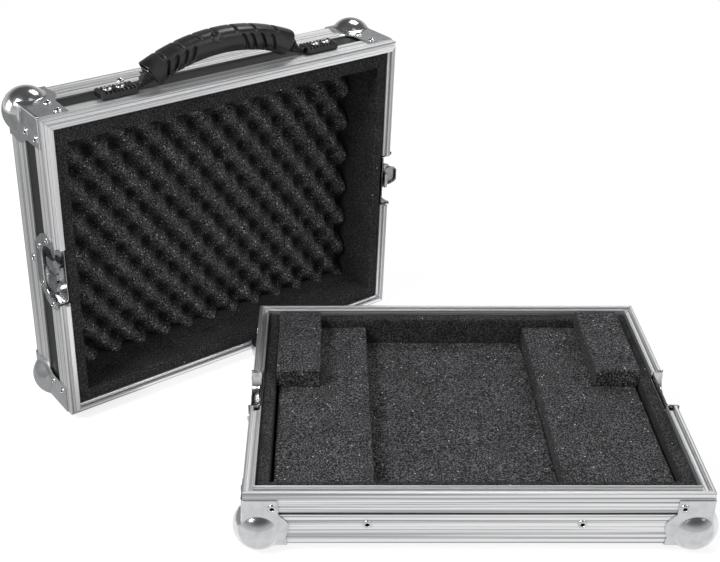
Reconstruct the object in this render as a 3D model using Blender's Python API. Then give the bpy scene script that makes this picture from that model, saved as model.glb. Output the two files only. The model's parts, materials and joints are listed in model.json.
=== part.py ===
"""Flight case for an effects unit, open: the tray base with its foam bed, and the lift-off lid.

Metres, +Z up. Each half is modelled on its outer face (z = 0) with its opening at z = height,
and two empties place the halves: the base flat on its ball corners, the lid standing on edge.
Wall frame: x runs along the wall, y goes inward from its outer plane, z goes up to the opening.
"""
import math

import bmesh
import bpy
from mathutils import Matrix, Vector

# Case
WIDTH = 0.400
DEPTH = 0.3184
BASE_HEIGHT = 0.0555
LID_HEIGHT = 0.0755
SEAT = 0.0003
MITRE = 0.0002

# Plywood boards
BOARD = 0.0068

# Edge angle on the outer edges
ANGLE_LEG = 0.032
ANGLE_SKIN = 0.0015
SCORE_PITCH = 0.0065
SCORE_HALF = 0.0004
SCORE_DEPTH = 0.00025

# Closing profile round the opening: a groove in the base, a tongue on the lid
RIM_DROP = 0.0213
RIM_LEG = 0.0014
RIM_LEG_DROP = 0.017
RIM_ROOF = 0.0068
RIM_ROUND = 0.0004
RIM_SCORE_PITCH = 0.005
TONGUE_OUTER = 0.0035
TONGUE_INNER = 0.0087
TONGUE_RISE = 0.0045
TONGUE_CHAMFER = 0.0006
GROOVE_CLEARANCE = 0.0004
GROOVE_SPARE = 0.0005

# Ball corners
BALL_RADIUS = 0.0233
BALL_INSET = 0.0128
BALL_FACETS = 16
SHEET = 0.001
PLATE_FOOT = 0.0383
PLATE_WAIST = 0.0364
PLATE_LOBE = 0.039
PLATE_NECK = 0.0301
PLATE_TOP_GAP = 0.0078
BASE_SHOULDER = 0.0323
LID_SHOULDER = 0.0385
SCOOP_SPAN = 0.013
SCOOP_RISE = 0.0059
SCOOP_DEPTH = 0.0045
SCOOP_HEIGHT = 0.0264
SCOOP_OUT = 0.0061
SCOOP_TILT = math.radians(34)

# Butterfly latch in the lid, keeper in the base
POCKET_HALF = 0.0298
POCKET_TOP = 0.0003
LATCH_POCKET = 0.0315
KEEPER_POCKET = 0.0222
POCKET_FLOOR = 0.0086
POCKET_POWER = 0.55
POCKET_TAPER = 0.97
POCKET_MOUTH = 0.004
RIVET_SEAT_RADIUS = 0.0042
NOTCH_CLEARANCE = 0.0006
NOTCH_WEB = 0.0005
LATCH_FLANGE = 0.044
KEEPER_FLANGE = 0.0315
FLANGE_HALF = 0.0405
CAM_DEPTH = 0.011
CAM_RADIUS = 0.010
CAM_FACE = 0.0026
CAM_THICK = 0.0016
SPINDLE_RADIUS = 0.003
SPINDLE_CLEARANCE = 0.0003
BOSS_RADIUS = 0.0055
BOSS_RISE = 0.0021
HOOK_GAP = 0.0004
HOOK_THICK = 0.0016
HOOK_HALF = 0.011
HOOK_LENGTH = 0.0225
HOOK_NOSE = 0.003
HOOK_LIP = 0.0018
HOOK_THROW = 0.006
STRIKER_HALF = 0.010
STRIKER_DEPTH = 0.0035
STRIKER_THICK = 0.0025
WING_LENGTH = 0.0159
WING_HALF = 0.0105
WING_TIP_HALF = 0.0078
WING_THICK = 0.0012
WING_NECK = 0.003
WING_PAN = 0.003
WING_WALL = 0.0011
WING_SPREAD = 0.0015
KNUCKLE_RADIUS = 0.001
KNUCKLE_HALF = 0.0076
KNUCKLE_DEPTH = 0.001
EAR_THICK = 0.0014
PIN_RADIUS = 0.00065

# Photographed state of each latch: turn from mid-way, hook travel, lift of its two wings
LATCH_STATE = {"left": (math.radians(-90), -HOOK_THROW, math.radians(8), math.radians(8)),
               "right": (0.0, 0.0, math.radians(84), math.radians(68))}

# Carrying handle on the lid wall opposite the feet
HANDLE_DEPTH = 0.0223
HANDLE_PIVOT = 0.004
GRIP_RISE = 0.0323
GRIP_DROP = 0.0175
GRIP_HALF = 0.0795
GRIP_SHIFT = 0.0035
GRIP_HALF_HEIGHT = 0.0123
GRIP_HALF_WIDTH = 0.0135
CUFF_START = 0.055
CUFF_HALF_HEIGHT = 0.0124
CUFF_HALF_WIDTH = 0.0136
CUFF_WALL = 0.0018
CUFF_DEPTH = 0.008
NOTCH_RADIUS = 0.0021
GROOVE_HALF = 0.0013
GROOVE_REACH = 0.0095
GROOVE_DEPTH = 0.0024
GROOVE_SLANT = math.radians(22)
NOTCH_SHARES = (0.83, 0.59, 0.35, 0.075, -0.214, -0.503, -0.805)
GROOVE_SHARES = (0.654, 0.541, 0.428, 0.314, -0.428, -0.541, -0.654, -0.767)
CORE_HALF_WIDTH = 0.004
CORE_HALF_HEIGHT = 0.0016
NECK_HALF_WIDTH = 0.0085
NECK_HALF_HEIGHT = 0.0075
NECK_RIBS = 4
HINGE_PIN_RADIUS = 0.0023
HINGE_PIN_LENGTH = 0.010
MOUNT_START = 0.096
MOUNT_LENGTH = 0.038
MOUNT_WIDTH = 0.015
MOUNT_RISE = 0.0075
MOUNT_RIB = 0.0032

# Rubber feet on the lid wall that stands down
FOOT_SPAN = 0.130
FOOT_RADIUS = 0.01075
FOOT_DROP = 0.0089

# Foam
FOAM_GAP = 0.0025
FLOOR_FOAM = 0.0135
BASE_LINING = 0.0119
BASE_LINING_DROP = 0.005
PLATFORM_RISE = 0.019
PLATFORM_LEFT_EDGE = -0.0865
PLATFORM_RIGHT_EDGE = 0.0795
BLOCK_RISE = 0.0193
BLOCK_WIDTH = 0.0432
BLOCK_LENGTH = 0.1144
LID_LINING_SIDE = 0.011
LID_LINING_TOP = 0.0155
LID_LINING_FOOT = 0.013
LID_LINING_DROP = 0.0015
EGG_BASE = 0.009
EGG_RELIEF = 0.013
EGG_PITCH_X = 0.0293
EGG_PITCH_Y = 0.0394
EGG_RISING_PHASE = 0.68
EGG_FALLING_PHASE = 0.63
EGG_SKEW = 0.62
EGG_STEPS = 3
EGG_RIGHT_GAP = 0.0055
FOAM_BEVEL = 0.0012

# Layout: the base square to the axes, the lid behind its left back corner
LAYOUT_X = 0.1122
LAYOUT_Y = -0.0843
LID_ALONG = 0.2220
LID_BEHIND = 0.0102
LID_YAW = math.radians(36.14)
LID_LEAN = math.radians(2.17)

# Planes that follow from the sizes above, measured inward from a wall's outer plane
BOARD_OUT = ANGLE_SKIN + SEAT
BOARD_IN = BOARD_OUT + BOARD
LEG_OUT = BOARD_IN + SEAT
RIM_IN = LEG_OUT + RIM_LEG
LINING_OUT = RIM_IN + SEAT
BALL_STAND = BALL_RADIUS - BALL_INSET
FACE_IN = -SEAT
FACE_OUT = -SEAT - SHEET
HOOK_FACE = CAM_FACE + CAM_THICK + HOOK_GAP
STRIP_CENTRE = (RIM_DROP + LID_HEIGHT - ANGLE_LEG) / 2

SIDE_TURN = {"front": 0, "right": 90, "back": 180, "left": -90}
CORNER_TURN = {"front_left": 0, "front_right": 90, "back_right": 180, "back_left": -90}


def material(name, colour, roughness, metallic=0.0):
    """Principled material with one colour, roughness and metallic value."""
    made = bpy.data.materials.new(name)
    made.use_nodes = True
    shader = made.node_tree.nodes["Principled BSDF"]
    shader.inputs["Base Color"].default_value = (*colour, 1.0)
    shader.inputs["Roughness"].default_value = roughness
    shader.inputs["Metallic"].default_value = metallic
    made.diffuse_color = (*colour, 1.0)
    return made


def new_mesh(points, faces):
    """Mesh from points and faces, with every face turned outward."""
    mesh = bpy.data.meshes.new("form")
    mesh.from_pydata([tuple(point) for point in points], [], faces)
    form = bmesh.new()
    form.from_mesh(mesh)
    bmesh.ops.recalc_face_normals(form, faces=form.faces)
    form.to_mesh(mesh)
    form.free()
    return mesh


def prism(outline, axis, low, high):
    """Outline of two coordinates drawn out along the third axis, from low to high."""
    first, second, along = {"x": (1, 2, 0), "y": (0, 2, 1), "z": (0, 1, 2)}[axis]
    count = len(outline)
    points = []
    for level in (low, high):
        for pair in outline:
            point = [0.0, 0.0, 0.0]
            point[first], point[second], point[along] = pair[0], pair[1], level
            points.append(point)
    faces = [tuple(range(count)), tuple(range(2 * count - 1, count - 1, -1))]
    faces += [(i, (i + 1) % count, (i + 1) % count + count, i + count) for i in range(count)]
    return new_mesh(points, faces)


def box(x, y, z):
    """Box between two limits on each axis."""
    outline = [(x[0], y[0]), (x[1], y[0]), (x[1], y[1]), (x[0], y[1])]
    return prism(outline, "z", z[0], z[1])


def loft(rings):
    """Closed skin over rings of equal point count, with a flat face over each end."""
    count = len(rings[0])
    points = [point for ring in rings for point in ring]
    last = len(points) - count
    faces = [tuple(range(count)), tuple(range(last + count - 1, last - 1, -1))]
    for start in range(0, last, count):
        for i in range(count):
            j = (i + 1) % count
            faces.append((start + i, start + j, start + count + j, start + count + i))
    return new_mesh(points, faces)


def ball(place, segments, rings):
    """Unit ball placed and stretched by a matrix."""
    form = bmesh.new()
    bmesh.ops.create_uvsphere(form, u_segments=segments, v_segments=rings, radius=1.0, matrix=place)
    bmesh.ops.recalc_face_normals(form, faces=form.faces)
    mesh = bpy.data.meshes.new("form")
    form.to_mesh(mesh)
    form.free()
    return mesh


def cylinder(axis, centre, radius, low, high, segments=16):
    """Cylinder along an axis; centre gives the other two coordinates in order."""
    outline = []
    for i in range(segments):
        angle = 2 * math.pi * (i + 0.5) / segments
        outline.append((centre[0] + radius * math.cos(angle), centre[1] + radius * math.sin(angle)))
    return prism(outline, axis, low, high)


def combine(mesh, other, operation):
    """Result of an exact boolean between two closed meshes."""
    body = bpy.data.objects.new("body", mesh)
    tool = bpy.data.objects.new("tool", other)
    bpy.context.scene.collection.objects.link(body)
    bpy.context.scene.collection.objects.link(tool)
    step = body.modifiers.new("combine", "BOOLEAN")
    step.operation = operation
    step.object = tool
    graph = bpy.context.evaluated_depsgraph_get()
    result = bpy.data.meshes.new_from_object(body.evaluated_get(graph))
    for piece in (body, tool):
        bpy.data.objects.remove(piece)
    return result


def joined(mesh, *others):
    """One solid from touching or overlapping solids."""
    for other in others:
        mesh = combine(mesh, other, "UNION")
    return mesh


def cut(mesh, *others):
    """The first solid with the others taken out of it."""
    for other in others:
        mesh = combine(mesh, other, "DIFFERENCE")
    return mesh


def gathered(meshes):
    """Several separate cutters as one mesh."""
    form = bmesh.new()
    for mesh in meshes:
        form.from_mesh(mesh)
    whole = bpy.data.meshes.new("form")
    form.to_mesh(whole)
    form.free()
    return whole


def moved(mesh, matrix):
    """Copy of a mesh carried by a matrix."""
    copy = mesh.copy()
    copy.transform(matrix)
    return copy


def add_part(name, mesh, finish, frame, place=None, pivot=(0, 0, 0), smooth=None):
    """Named sub-part under a frame; its origin is the pivot, given in the mesh's coordinates."""
    place = place or Matrix.Identity(4)
    mesh = moved(mesh, Matrix.Translation(-Vector(pivot)))
    mesh.materials.clear()
    mesh.materials.append(finish)
    if smooth:
        mesh.shade_smooth()
        mesh.set_sharp_from_angle(angle=math.radians(smooth))
    part = bpy.data.objects.new(name, mesh)
    bpy.context.scene.collection.objects.link(part)
    part.parent = frame
    part.matrix_local = place @ Matrix.Translation(pivot)
    return part


def softened(mesh, width=FOAM_BEVEL):
    """Mesh with a small bevel on its outward edges, and its inward corners left sharp."""
    form = bmesh.new()
    form.from_mesh(mesh)
    form.normal_update()
    edges = [edge for edge in form.edges if edge.calc_face_angle_signed(0) > math.radians(30)]
    bmesh.ops.bevel(form, geom=edges, offset=width, segments=1, profile=0.5, affect="EDGES")
    form.to_mesh(mesh)
    form.free()
    return mesh


def wall(side):
    """Matrix from the wall frame of one side to the frame of the half."""
    reach = DEPTH / 2 if side in ("front", "back") else WIDTH / 2
    turn = Matrix.Rotation(math.radians(SIDE_TURN[side]), 4, "Z")
    return turn @ Matrix.Translation((0, -reach, 0))


def wall_length(side):
    """Outer length of one side."""
    return WIDTH if side in ("front", "back") else DEPTH


def opening(side, height):
    """Wall frame raised to the opening plane, so that depth below it is -z."""
    return wall(side) @ Matrix.Translation((0, 0, height))


def corner(name):
    """Matrix from the corner frame, x and y inward from the corner, to the half."""
    x = WIDTH / 2 if "right" in name else -WIDTH / 2
    y = DEPTH / 2 if "back" in name else -DEPTH / 2
    turn = Matrix.Rotation(math.radians(CORNER_TURN[name]), 4, "Z")
    return Matrix.Translation((x, y, 0)) @ turn


def scored_line(start, end, pitch):
    """Straight line of the outline from start to end, with shallow V scores at each pitch."""
    start, end = Vector(start), Vector(end)
    run = end - start
    along = run.normalized()
    inward = Vector((-along.y, along.x))
    line = [tuple(start)]
    for i in range(1, int((run.length - 2 * SCORE_HALF) / pitch) + 1):
        middle = start + along * pitch * i
        if (end - middle).length > 3 * SCORE_HALF:
            line.append(tuple(middle - along * SCORE_HALF))
            line.append(tuple(middle + inward * SCORE_DEPTH))
            line.append(tuple(middle + along * SCORE_HALF))
    line.append(tuple(end))
    return line


def angle_section():
    """Edge angle: two equal legs with scored outer faces and a rounded outer edge."""
    outline = scored_line((0, ANGLE_LEG), (0, ANGLE_SKIN), SCORE_PITCH)
    for i in range(1, 3):
        turn = math.radians(30 * i)
        outline.append((ANGLE_SKIN * (1 - math.cos(turn)), ANGLE_SKIN * (1 - math.sin(turn))))
    outline += scored_line((ANGLE_SKIN, 0), (ANGLE_LEG, 0), SCORE_PITCH)
    outline += [(ANGLE_LEG, ANGLE_SKIN), (ANGLE_SKIN, ANGLE_SKIN), (ANGLE_SKIN, ANGLE_LEG)]
    return outline


def rim_channel():
    """Inner side of the closing profile: the channel that straddles the board."""
    return [(RIM_IN, -RIM_ROUND), (RIM_IN, -RIM_LEG_DROP), (LEG_OUT, -RIM_LEG_DROP),
            (LEG_OUT, -RIM_ROOF), (ANGLE_SKIN, -RIM_ROOF), (ANGLE_SKIN, -RIM_DROP)]


def rim_outer_face():
    """Outer face of the closing profile, from the top edge down."""
    return scored_line((0, -RIM_ROUND), (0, -RIM_DROP), RIM_SCORE_PITCH)


def groove_section():
    """Closing profile of the base, with the groove that takes the tongue."""
    outer = TONGUE_OUTER - GROOVE_CLEARANCE
    inner = TONGUE_INNER + GROOVE_CLEARANCE
    floor = -TONGUE_RISE - GROOVE_SPARE
    top = [(RIM_IN - RIM_ROUND, 0), (inner + RIM_ROUND, 0), (inner, -RIM_ROUND), (inner, floor),
           (outer, floor), (outer, -RIM_ROUND), (outer - RIM_ROUND, 0), (RIM_ROUND, 0)]
    return rim_outer_face() + list(reversed(rim_channel())) + top


def tongue_section():
    """Closing profile of the lid, with the tongue standing out of it."""
    tip = TONGUE_RISE
    slope = TONGUE_CHAMFER
    top = [(RIM_IN - RIM_ROUND, 0), (TONGUE_INNER, 0), (TONGUE_INNER, tip - slope),
           (TONGUE_INNER - slope, tip), (TONGUE_OUTER + slope, tip), (TONGUE_OUTER, tip - slope),
           (TONGUE_OUTER, 0), (RIM_ROUND, 0)]
    return rim_outer_face() + list(reversed(rim_channel())) + top


def mitred_bar(section, length):
    """Section drawn along x with both ends mitred at 45 degrees."""
    ends = []
    for sign in (-1, 1):
        ends.append([(sign * (length / 2 - y - MITRE), y, z) for y, z in section])
    return loft(ends)


def cup_outline(half, depth, top, scale=1.0, steps=12):
    """Rounded tray outline as x and z below the opening, closed by a straight top edge."""
    line = []
    for i in range(steps + 1):
        angle = math.pi * i / steps
        side = math.copysign(abs(math.cos(angle)) ** POCKET_POWER, math.cos(angle))
        drop = abs(math.sin(angle)) ** POCKET_POWER
        line.append((half * side * scale, -POCKET_TOP - (depth - POCKET_TOP) * drop * scale))
    line[0] = (line[0][0], -top)
    line[-1] = (line[-1][0], -top)
    return line


def tray(depth):
    """Outer and inner solid of a pressed tray, the inner one open at the opening plane."""
    outer = [[(x, y, z) for x, z in cup_outline(POCKET_HALF, depth, POCKET_TOP, scale)]
             for y, scale in ((FACE_OUT + SHEET / 2, 1.0), (POCKET_FLOOR + SHEET, POCKET_TAPER))]
    inner = [[(x, y, z) for x, z in cup_outline(POCKET_HALF - SHEET, depth - SHEET, -POCKET_MOUTH, scale)]
             for y, scale in ((FACE_OUT - SHEET, 1.0), (POCKET_FLOOR, POCKET_TAPER))]
    return loft(outer), loft(inner)


def flange_outline(depth):
    """Outline of the pressed flange: two rivet lobes above, drawn in to a lower tongue."""
    shape = [(0.733, 0.009), (0.778, 0.057), (0.889, 0.102), (0.975, 0.182), (1.0, 0.318),
             (0.983, 0.5), (0.901, 0.659), (0.765, 0.795), (0.667, 0.909), (0.543, 1.0)]
    right = [(FLANGE_HALF * across, -depth * down) for across, down in shape]
    return right + [(-x, z) for x, z in reversed(right)]


def latch_dish():
    """Pressed dish of the latch, with the spindle boss and the seats of the lower rivets."""
    outer, inner = tray(LATCH_POCKET)
    flange = prism(flange_outline(LATCH_FLANGE), "y", FACE_OUT, FACE_IN)
    seats = []
    for sign in (-1, 1):
        place = (sign * FLANGE_HALF * 0.486, -LATCH_FLANGE * 0.741)
        seats.append(cylinder("y", place, RIVET_SEAT_RADIUS, FACE_OUT + SHEET / 2, ANGLE_SKIN, 12))
    dish = cut(joined(flange, outer, *seats), inner)
    boss = cylinder("y", (0, -CAM_DEPTH), BOSS_RADIUS, POCKET_FLOOR - BOSS_RISE,
                    POCKET_FLOOR + SHEET / 2)
    bore = cylinder("y", (0, -CAM_DEPTH), SPINDLE_RADIUS + SPINDLE_CLEARANCE,
                    POCKET_FLOOR - 2 * BOSS_RISE, POCKET_FLOOR)
    return cut(joined(dish, boss), bore)


def keeper_dish():
    """Pressed dish of the keeper, with the striker bar that the hook pulls on."""
    outer, inner = tray(KEEPER_POCKET)
    flange = prism(flange_outline(KEEPER_FLANGE), "y", FACE_OUT, FACE_IN)
    striker = box((-STRIKER_HALF, STRIKER_HALF), (POCKET_FLOOR - 0.002, POCKET_FLOOR + SHEET / 2),
                  (-STRIKER_DEPTH - STRIKER_THICK, -STRIKER_DEPTH))
    return joined(cut(joined(flange, outer), inner), striker)


def latch_hook():
    """Sliding hook: a slotted plate with a lip turned in at its nose."""
    back = HOOK_FACE + HOOK_THICK
    corner_cut = HOOK_HALF * 0.27
    outline = [(HOOK_HALF - corner_cut, -HOOK_LENGTH), (HOOK_HALF, -HOOK_LENGTH + corner_cut),
               (HOOK_HALF, -0.004), (HOOK_HALF - corner_cut, 0), (HOOK_HALF - corner_cut, HOOK_NOSE)]
    outline += [(-x, z) for x, z in reversed(outline)]
    plate = prism(outline, "y", HOOK_FACE, back)
    inset = HOOK_HALF - corner_cut
    lip = box((-inset, inset), (HOOK_FACE, back + 0.002), (HOOK_NOSE - HOOK_LIP, HOOK_NOSE))
    half = SPINDLE_RADIUS + SPINDLE_CLEARANCE
    reach = HOOK_THROW + half
    slot = box((-half, half), (HOOK_FACE - 0.001, back + 0.001),
               (-CAM_DEPTH - reach, -CAM_DEPTH + reach))
    return cut(joined(plate, lip), slot)


def latch_cam():
    """Turning cam: a disc on a spindle, with two ears that carry the wings."""
    centre = (0, -CAM_DEPTH)
    disc = cylinder("y", centre, CAM_RADIUS, CAM_FACE, CAM_FACE + CAM_THICK, 24)
    spindle = cylinder("y", centre, SPINDLE_RADIUS, CAM_FACE + CAM_THICK / 2, POCKET_FLOOR - SEAT)
    ears = []
    pins = []
    for sign in (-1, 1):
        inner = sign * (KNUCKLE_HALF + SEAT)
        outer = inner + sign * EAR_THICK
        low, high = min(inner, outer), max(inner, outer)
        ears.append(box((low, high), (KNUCKLE_DEPTH - KNUCKLE_RADIUS, CAM_FACE + CAM_THICK / 2),
                        (-CAM_DEPTH - 2 * WING_SPREAD, -CAM_DEPTH + 2 * WING_SPREAD)))
        for side in (-1, 1):
            place = (KNUCKLE_DEPTH, -CAM_DEPTH + side * WING_SPREAD)
            pins.append(cylinder("x", place, PIN_RADIUS + 0.0002, low - 0.001, high + 0.001, 8))
    return cut(joined(disc, spindle, *ears), gathered(pins))


def latch_wing():
    """Pressed wing standing on its knuckle along +z: a neck, then a shallow tapering pan."""
    reach = WING_NECK + 0.001
    right = [(WING_HALF, reach), (WING_HALF, WING_LENGTH * 0.5),
             (WING_TIP_HALF + 0.0008, WING_LENGTH * 0.86), (WING_TIP_HALF * 0.8, WING_LENGTH)]
    mirrored = [(-x, z) for x, z in reversed(right)]
    neck = [(KNUCKLE_HALF, 0), (KNUCKLE_HALF, WING_NECK)]
    outline = neck + right + mirrored + [(-x, z) for x, z in reversed(neck)]
    blade = prism(outline, "y", -WING_THICK / 2, WING_THICK / 2)
    pan = prism(right + mirrored, "y", 0, WING_PAN)
    inner = [(x - WING_WALL, z - WING_WALL) for x, z in right[1:]]
    inner = [(WING_HALF - WING_WALL, 0)] + inner
    hollow = prism(inner + [(-x, z) for x, z in reversed(inner)], "y", WING_THICK / 2, 2 * WING_PAN)
    knuckle = cylinder("x", (0, 0), KNUCKLE_RADIUS, -KNUCKLE_HALF, KNUCKLE_HALF, 12)
    pin_reach = KNUCKLE_HALF + SEAT + EAR_THICK - 0.0002
    pin = cylinder("x", (0, 0), PIN_RADIUS, -pin_reach, pin_reach, 8)
    return joined(cut(joined(blade, pan), hollow), knuckle, pin)


def plate_outline(shoulder, top):
    """Outline of one upright plate of a ball corner: a lobed foot drawn in to a narrow neck."""
    lobe_end = BALL_INSET + BALL_RADIUS / 2
    return [(FACE_OUT, FACE_OUT), (PLATE_FOOT, FACE_OUT), (PLATE_FOOT - 0.0009, 0.003),
            (PLATE_WAIST, 0.008), (PLATE_WAIST + 0.0012, 0.012), (PLATE_LOBE, 0.016),
            (PLATE_LOBE, 0.021), (PLATE_LOBE - 0.0006, lobe_end),
            ((PLATE_LOBE + PLATE_NECK) / 2, (lobe_end + shoulder) / 2), (PLATE_NECK + 0.0005, shoulder),
            (PLATE_NECK, top - 0.0018), (PLATE_NECK - 0.0015, top), (FACE_OUT, top)]


def ball_corner(shoulder, height, gap_fill):
    """Ball corner: three pressed plates, the ball over them and a scoop in each upright face."""
    top = height - PLATE_TOP_GAP
    upright = plate_outline(shoulder, top)
    foot = [(FACE_OUT, FACE_OUT), (PLATE_FOOT, FACE_OUT), (PLATE_WAIST, 0.008), (PLATE_LOBE, 0.016),
            (PLATE_LOBE - 0.0006, 0.0244), (PLATE_NECK + 0.0035, PLATE_NECK)]
    foot += [(y, x) for x, y in reversed(foot[1:])]
    plates = joined(prism(upright, "y", FACE_OUT, FACE_IN), prism(upright, "x", FACE_OUT, FACE_IN),
                    prism(foot, "z", FACE_OUT, FACE_IN))
    place = Matrix.Translation((BALL_INSET,) * 3) @ Matrix.Scale(BALL_RADIUS, 4)
    fitting = joined(plates, ball(place, BALL_FACETS, BALL_FACETS // 2))
    room = BALL_RADIUS * 3
    fitting = cut(fitting, box((FACE_IN, room), (FACE_IN, room), (FACE_IN, room + height)))
    normal_tilt = Matrix.Rotation(SCOOP_TILT, 4, "X")
    sizes = Matrix.Diagonal((SCOOP_SPAN, SCOOP_DEPTH, SCOOP_RISE, 1))
    hollow = Matrix.Translation((BALL_INSET + 0.0012, -SCOOP_OUT, SCOOP_HEIGHT)) @ normal_tilt @ sizes
    swap = Matrix(((0, 1, 0, 0), (1, 0, 0, 0), (0, 0, 1, 0), (0, 0, 0, 1)))
    fitting = cut(fitting, ball(hollow, 10, 6), upside_out(ball(swap @ hollow, 10, 6)))
    if gap_fill:
        low, high = ANGLE_LEG + SEAT, height - RIM_DROP - SEAT
        reach = PLATE_NECK - 0.0012
        pad = [(FACE_IN - SHEET / 2, FACE_IN - SHEET / 2), (reach, FACE_IN - SHEET / 2),
               (reach, ANGLE_SKIN), (ANGLE_SKIN, ANGLE_SKIN), (ANGLE_SKIN, reach),
               (FACE_IN - SHEET / 2, reach)]
        fitting = joined(fitting, prism(pad, "z", low, high))
    return fitting


def upside_out(mesh):
    """Mesh with its faces turned outward again after a mirrored placing."""
    form = bmesh.new()
    form.from_mesh(mesh)
    bmesh.ops.recalc_face_normals(form, faces=form.faces)
    form.to_mesh(mesh)
    form.free()
    return mesh


def rim_bar(section, side):
    """Closing profile of one side; on the latch sides it is notched, all but a thin inner web."""
    bar = mitred_bar(section, wall_length(side))
    if side in ("left", "right"):
        half = POCKET_HALF + NOTCH_CLEARANCE
        through = box((-half, half), (-0.001, RIM_IN + 0.001), (-RIM_ROOF - NOTCH_CLEARANCE, 0.006))
        skin = box((-half, half), (-0.001, RIM_IN - NOTCH_WEB),
                   (-RIM_DROP - 0.001, -RIM_ROOF - 2 * NOTCH_CLEARANCE / 3))
        bar = cut(bar, through, skin)
    return bar


def wall_board(side, height, pocket):
    """Board of one side, between the floor board and the roof of the closing profile."""
    low = BOARD_IN + SEAT
    high = height - RIM_ROOF - SEAT
    if side in ("front", "back"):
        half = wall_length(side) / 2 - BOARD_OUT
    else:
        half = wall_length(side) / 2 - BOARD_IN - SEAT
    board = box((-half, half), (BOARD_OUT, BOARD_IN), (low, high))
    if side in ("left", "right"):
        reach = POCKET_HALF + NOTCH_CLEARANCE
        board = cut(board, box((-reach, reach), (0, 2 * BOARD_IN),
                               (height - pocket - NOTCH_CLEARANCE, height)))
    return board


def foam_ring(outer, front, back, side, low, high):
    """Foam lining: a ring inside the closing profile with its own thickness on each side."""
    x = WIDTH / 2 - outer
    y = DEPTH / 2 - outer
    ring = box((-x, x), (-y, y), (low, high))
    hole = box((-x + side, x - side), (-y + front, y - back), (low - 0.01, high + 0.01))
    return cut(ring, hole)


def egg_crate(x_limits, y_limits, low):
    """Convoluted foam pad: offset rows of rounded peaks over a flat back."""
    columns = max(8, round((x_limits[1] - x_limits[0]) / (EGG_PITCH_X / EGG_STEPS)))
    rows = max(8, round((y_limits[1] - y_limits[0]) / (EGG_PITCH_Y / EGG_STEPS)))
    points = []
    for j in range(rows + 1):
        y = y_limits[0] + (y_limits[1] - y_limits[0]) * j / rows
        for i in range(columns + 1):
            x = x_limits[0] + (x_limits[1] - x_limits[0]) * i / columns
            across, along = x / EGG_PITCH_X, y / EGG_PITCH_Y
            wave = (EGG_SKEW * math.cos(math.tau * (across + along + EGG_RISING_PHASE))
                    + (1 - EGG_SKEW) * math.cos(math.tau * (across - along + EGG_FALLING_PHASE)))
            points.append((x, y, low + EGG_BASE + EGG_RELIEF * (0.5 + 0.5 * wave)))
    faces = []
    for j in range(rows):
        for i in range(columns):
            a = j * (columns + 1) + i
            faces.append((a, a + 1, a + columns + 1))
            faces.append((a + 1, a + columns + 2, a + columns + 1))
    first = len(points)
    points += [(x_limits[0], y_limits[0], low), (x_limits[1], y_limits[0], low),
               (x_limits[1], y_limits[1], low), (x_limits[0], y_limits[1], low)]
    width = columns + 1
    front = list(range(width))
    back = list(range(rows * width, rows * width + width))
    left = [j * width for j in range(rows + 1)]
    right = [j * width + columns for j in range(rows + 1)]
    faces.append(tuple([first + 1, first] + front))
    faces.append(tuple([first + 3, first + 2] + back[::-1]))
    faces.append(tuple([first, first + 3] + left[::-1]))
    faces.append(tuple([first + 2, first + 1] + right))
    faces.append((first, first + 1, first + 2, first + 3))
    return new_mesh(points, faces)


def ease(value, start, end):
    """Smooth step from 0 at start to 1 at end."""
    share = min(1.0, max(0.0, (value - start) / (end - start)))
    return share * share * (3 - 2 * share)


def grip_height(x):
    """Height of the bowed centre line over the wall."""
    return GRIP_RISE - GRIP_DROP * (x / GRIP_HALF) ** 2


def grip_slope(x):
    """Slope of the bowed centre line."""
    return -2 * GRIP_DROP * x / GRIP_HALF ** 2


def section_ring(x, height, slope, half_width, half_height, count=14, power=0.8):
    """Ring square to the handle's line: a rounded box section across the handle's depth."""
    length = math.hypot(1, slope)
    normal = (-slope / length, 1 / length)
    ring = []
    for i in range(count):
        angle = 2 * math.pi * (i + 0.5) / count
        across = math.copysign(abs(math.cos(angle)) ** power, math.cos(angle)) * half_width
        upward = math.copysign(abs(math.sin(angle)) ** power, math.sin(angle)) * half_height
        ring.append((x + normal[0] * upward, -height - normal[1] * upward, across - HANDLE_DEPTH))
    return ring


def cuff(x):
    """Share of the way from the grip's full section to the cuff at its end."""
    return ease(abs(x - GRIP_SHIFT), CUFF_START, GRIP_HALF)


def grip_half_width(x):
    """Half of the grip's width at x."""
    return GRIP_HALF_WIDTH + (CUFF_HALF_WIDTH - GRIP_HALF_WIDTH) * cuff(x)


def grip_half_height(x):
    """Half of the grip's height at x."""
    return GRIP_HALF_HEIGHT + (CUFF_HALF_HEIGHT - GRIP_HALF_HEIGHT) * cuff(x)


def finger_groove(x, side):
    """Cutter for a slanted groove low on one flank of the grip."""
    blade = box((-GROOVE_HALF, GROOVE_HALF), (-GROOVE_REACH, GROOVE_REACH),
                (GRIP_HALF_HEIGHT - GROOVE_DEPTH, GRIP_HALF_WIDTH + GROOVE_DEPTH))
    slant = Matrix.Rotation(-math.copysign(GROOVE_SLANT, x * side), 4, "Z")
    aim = Matrix.Rotation(math.radians(-30 if side > 0 else -150), 4, "X")
    spot = Matrix.Translation((x, -grip_height(x), -HANDLE_DEPTH))
    return moved(blade, spot @ aim @ slant)


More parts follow.
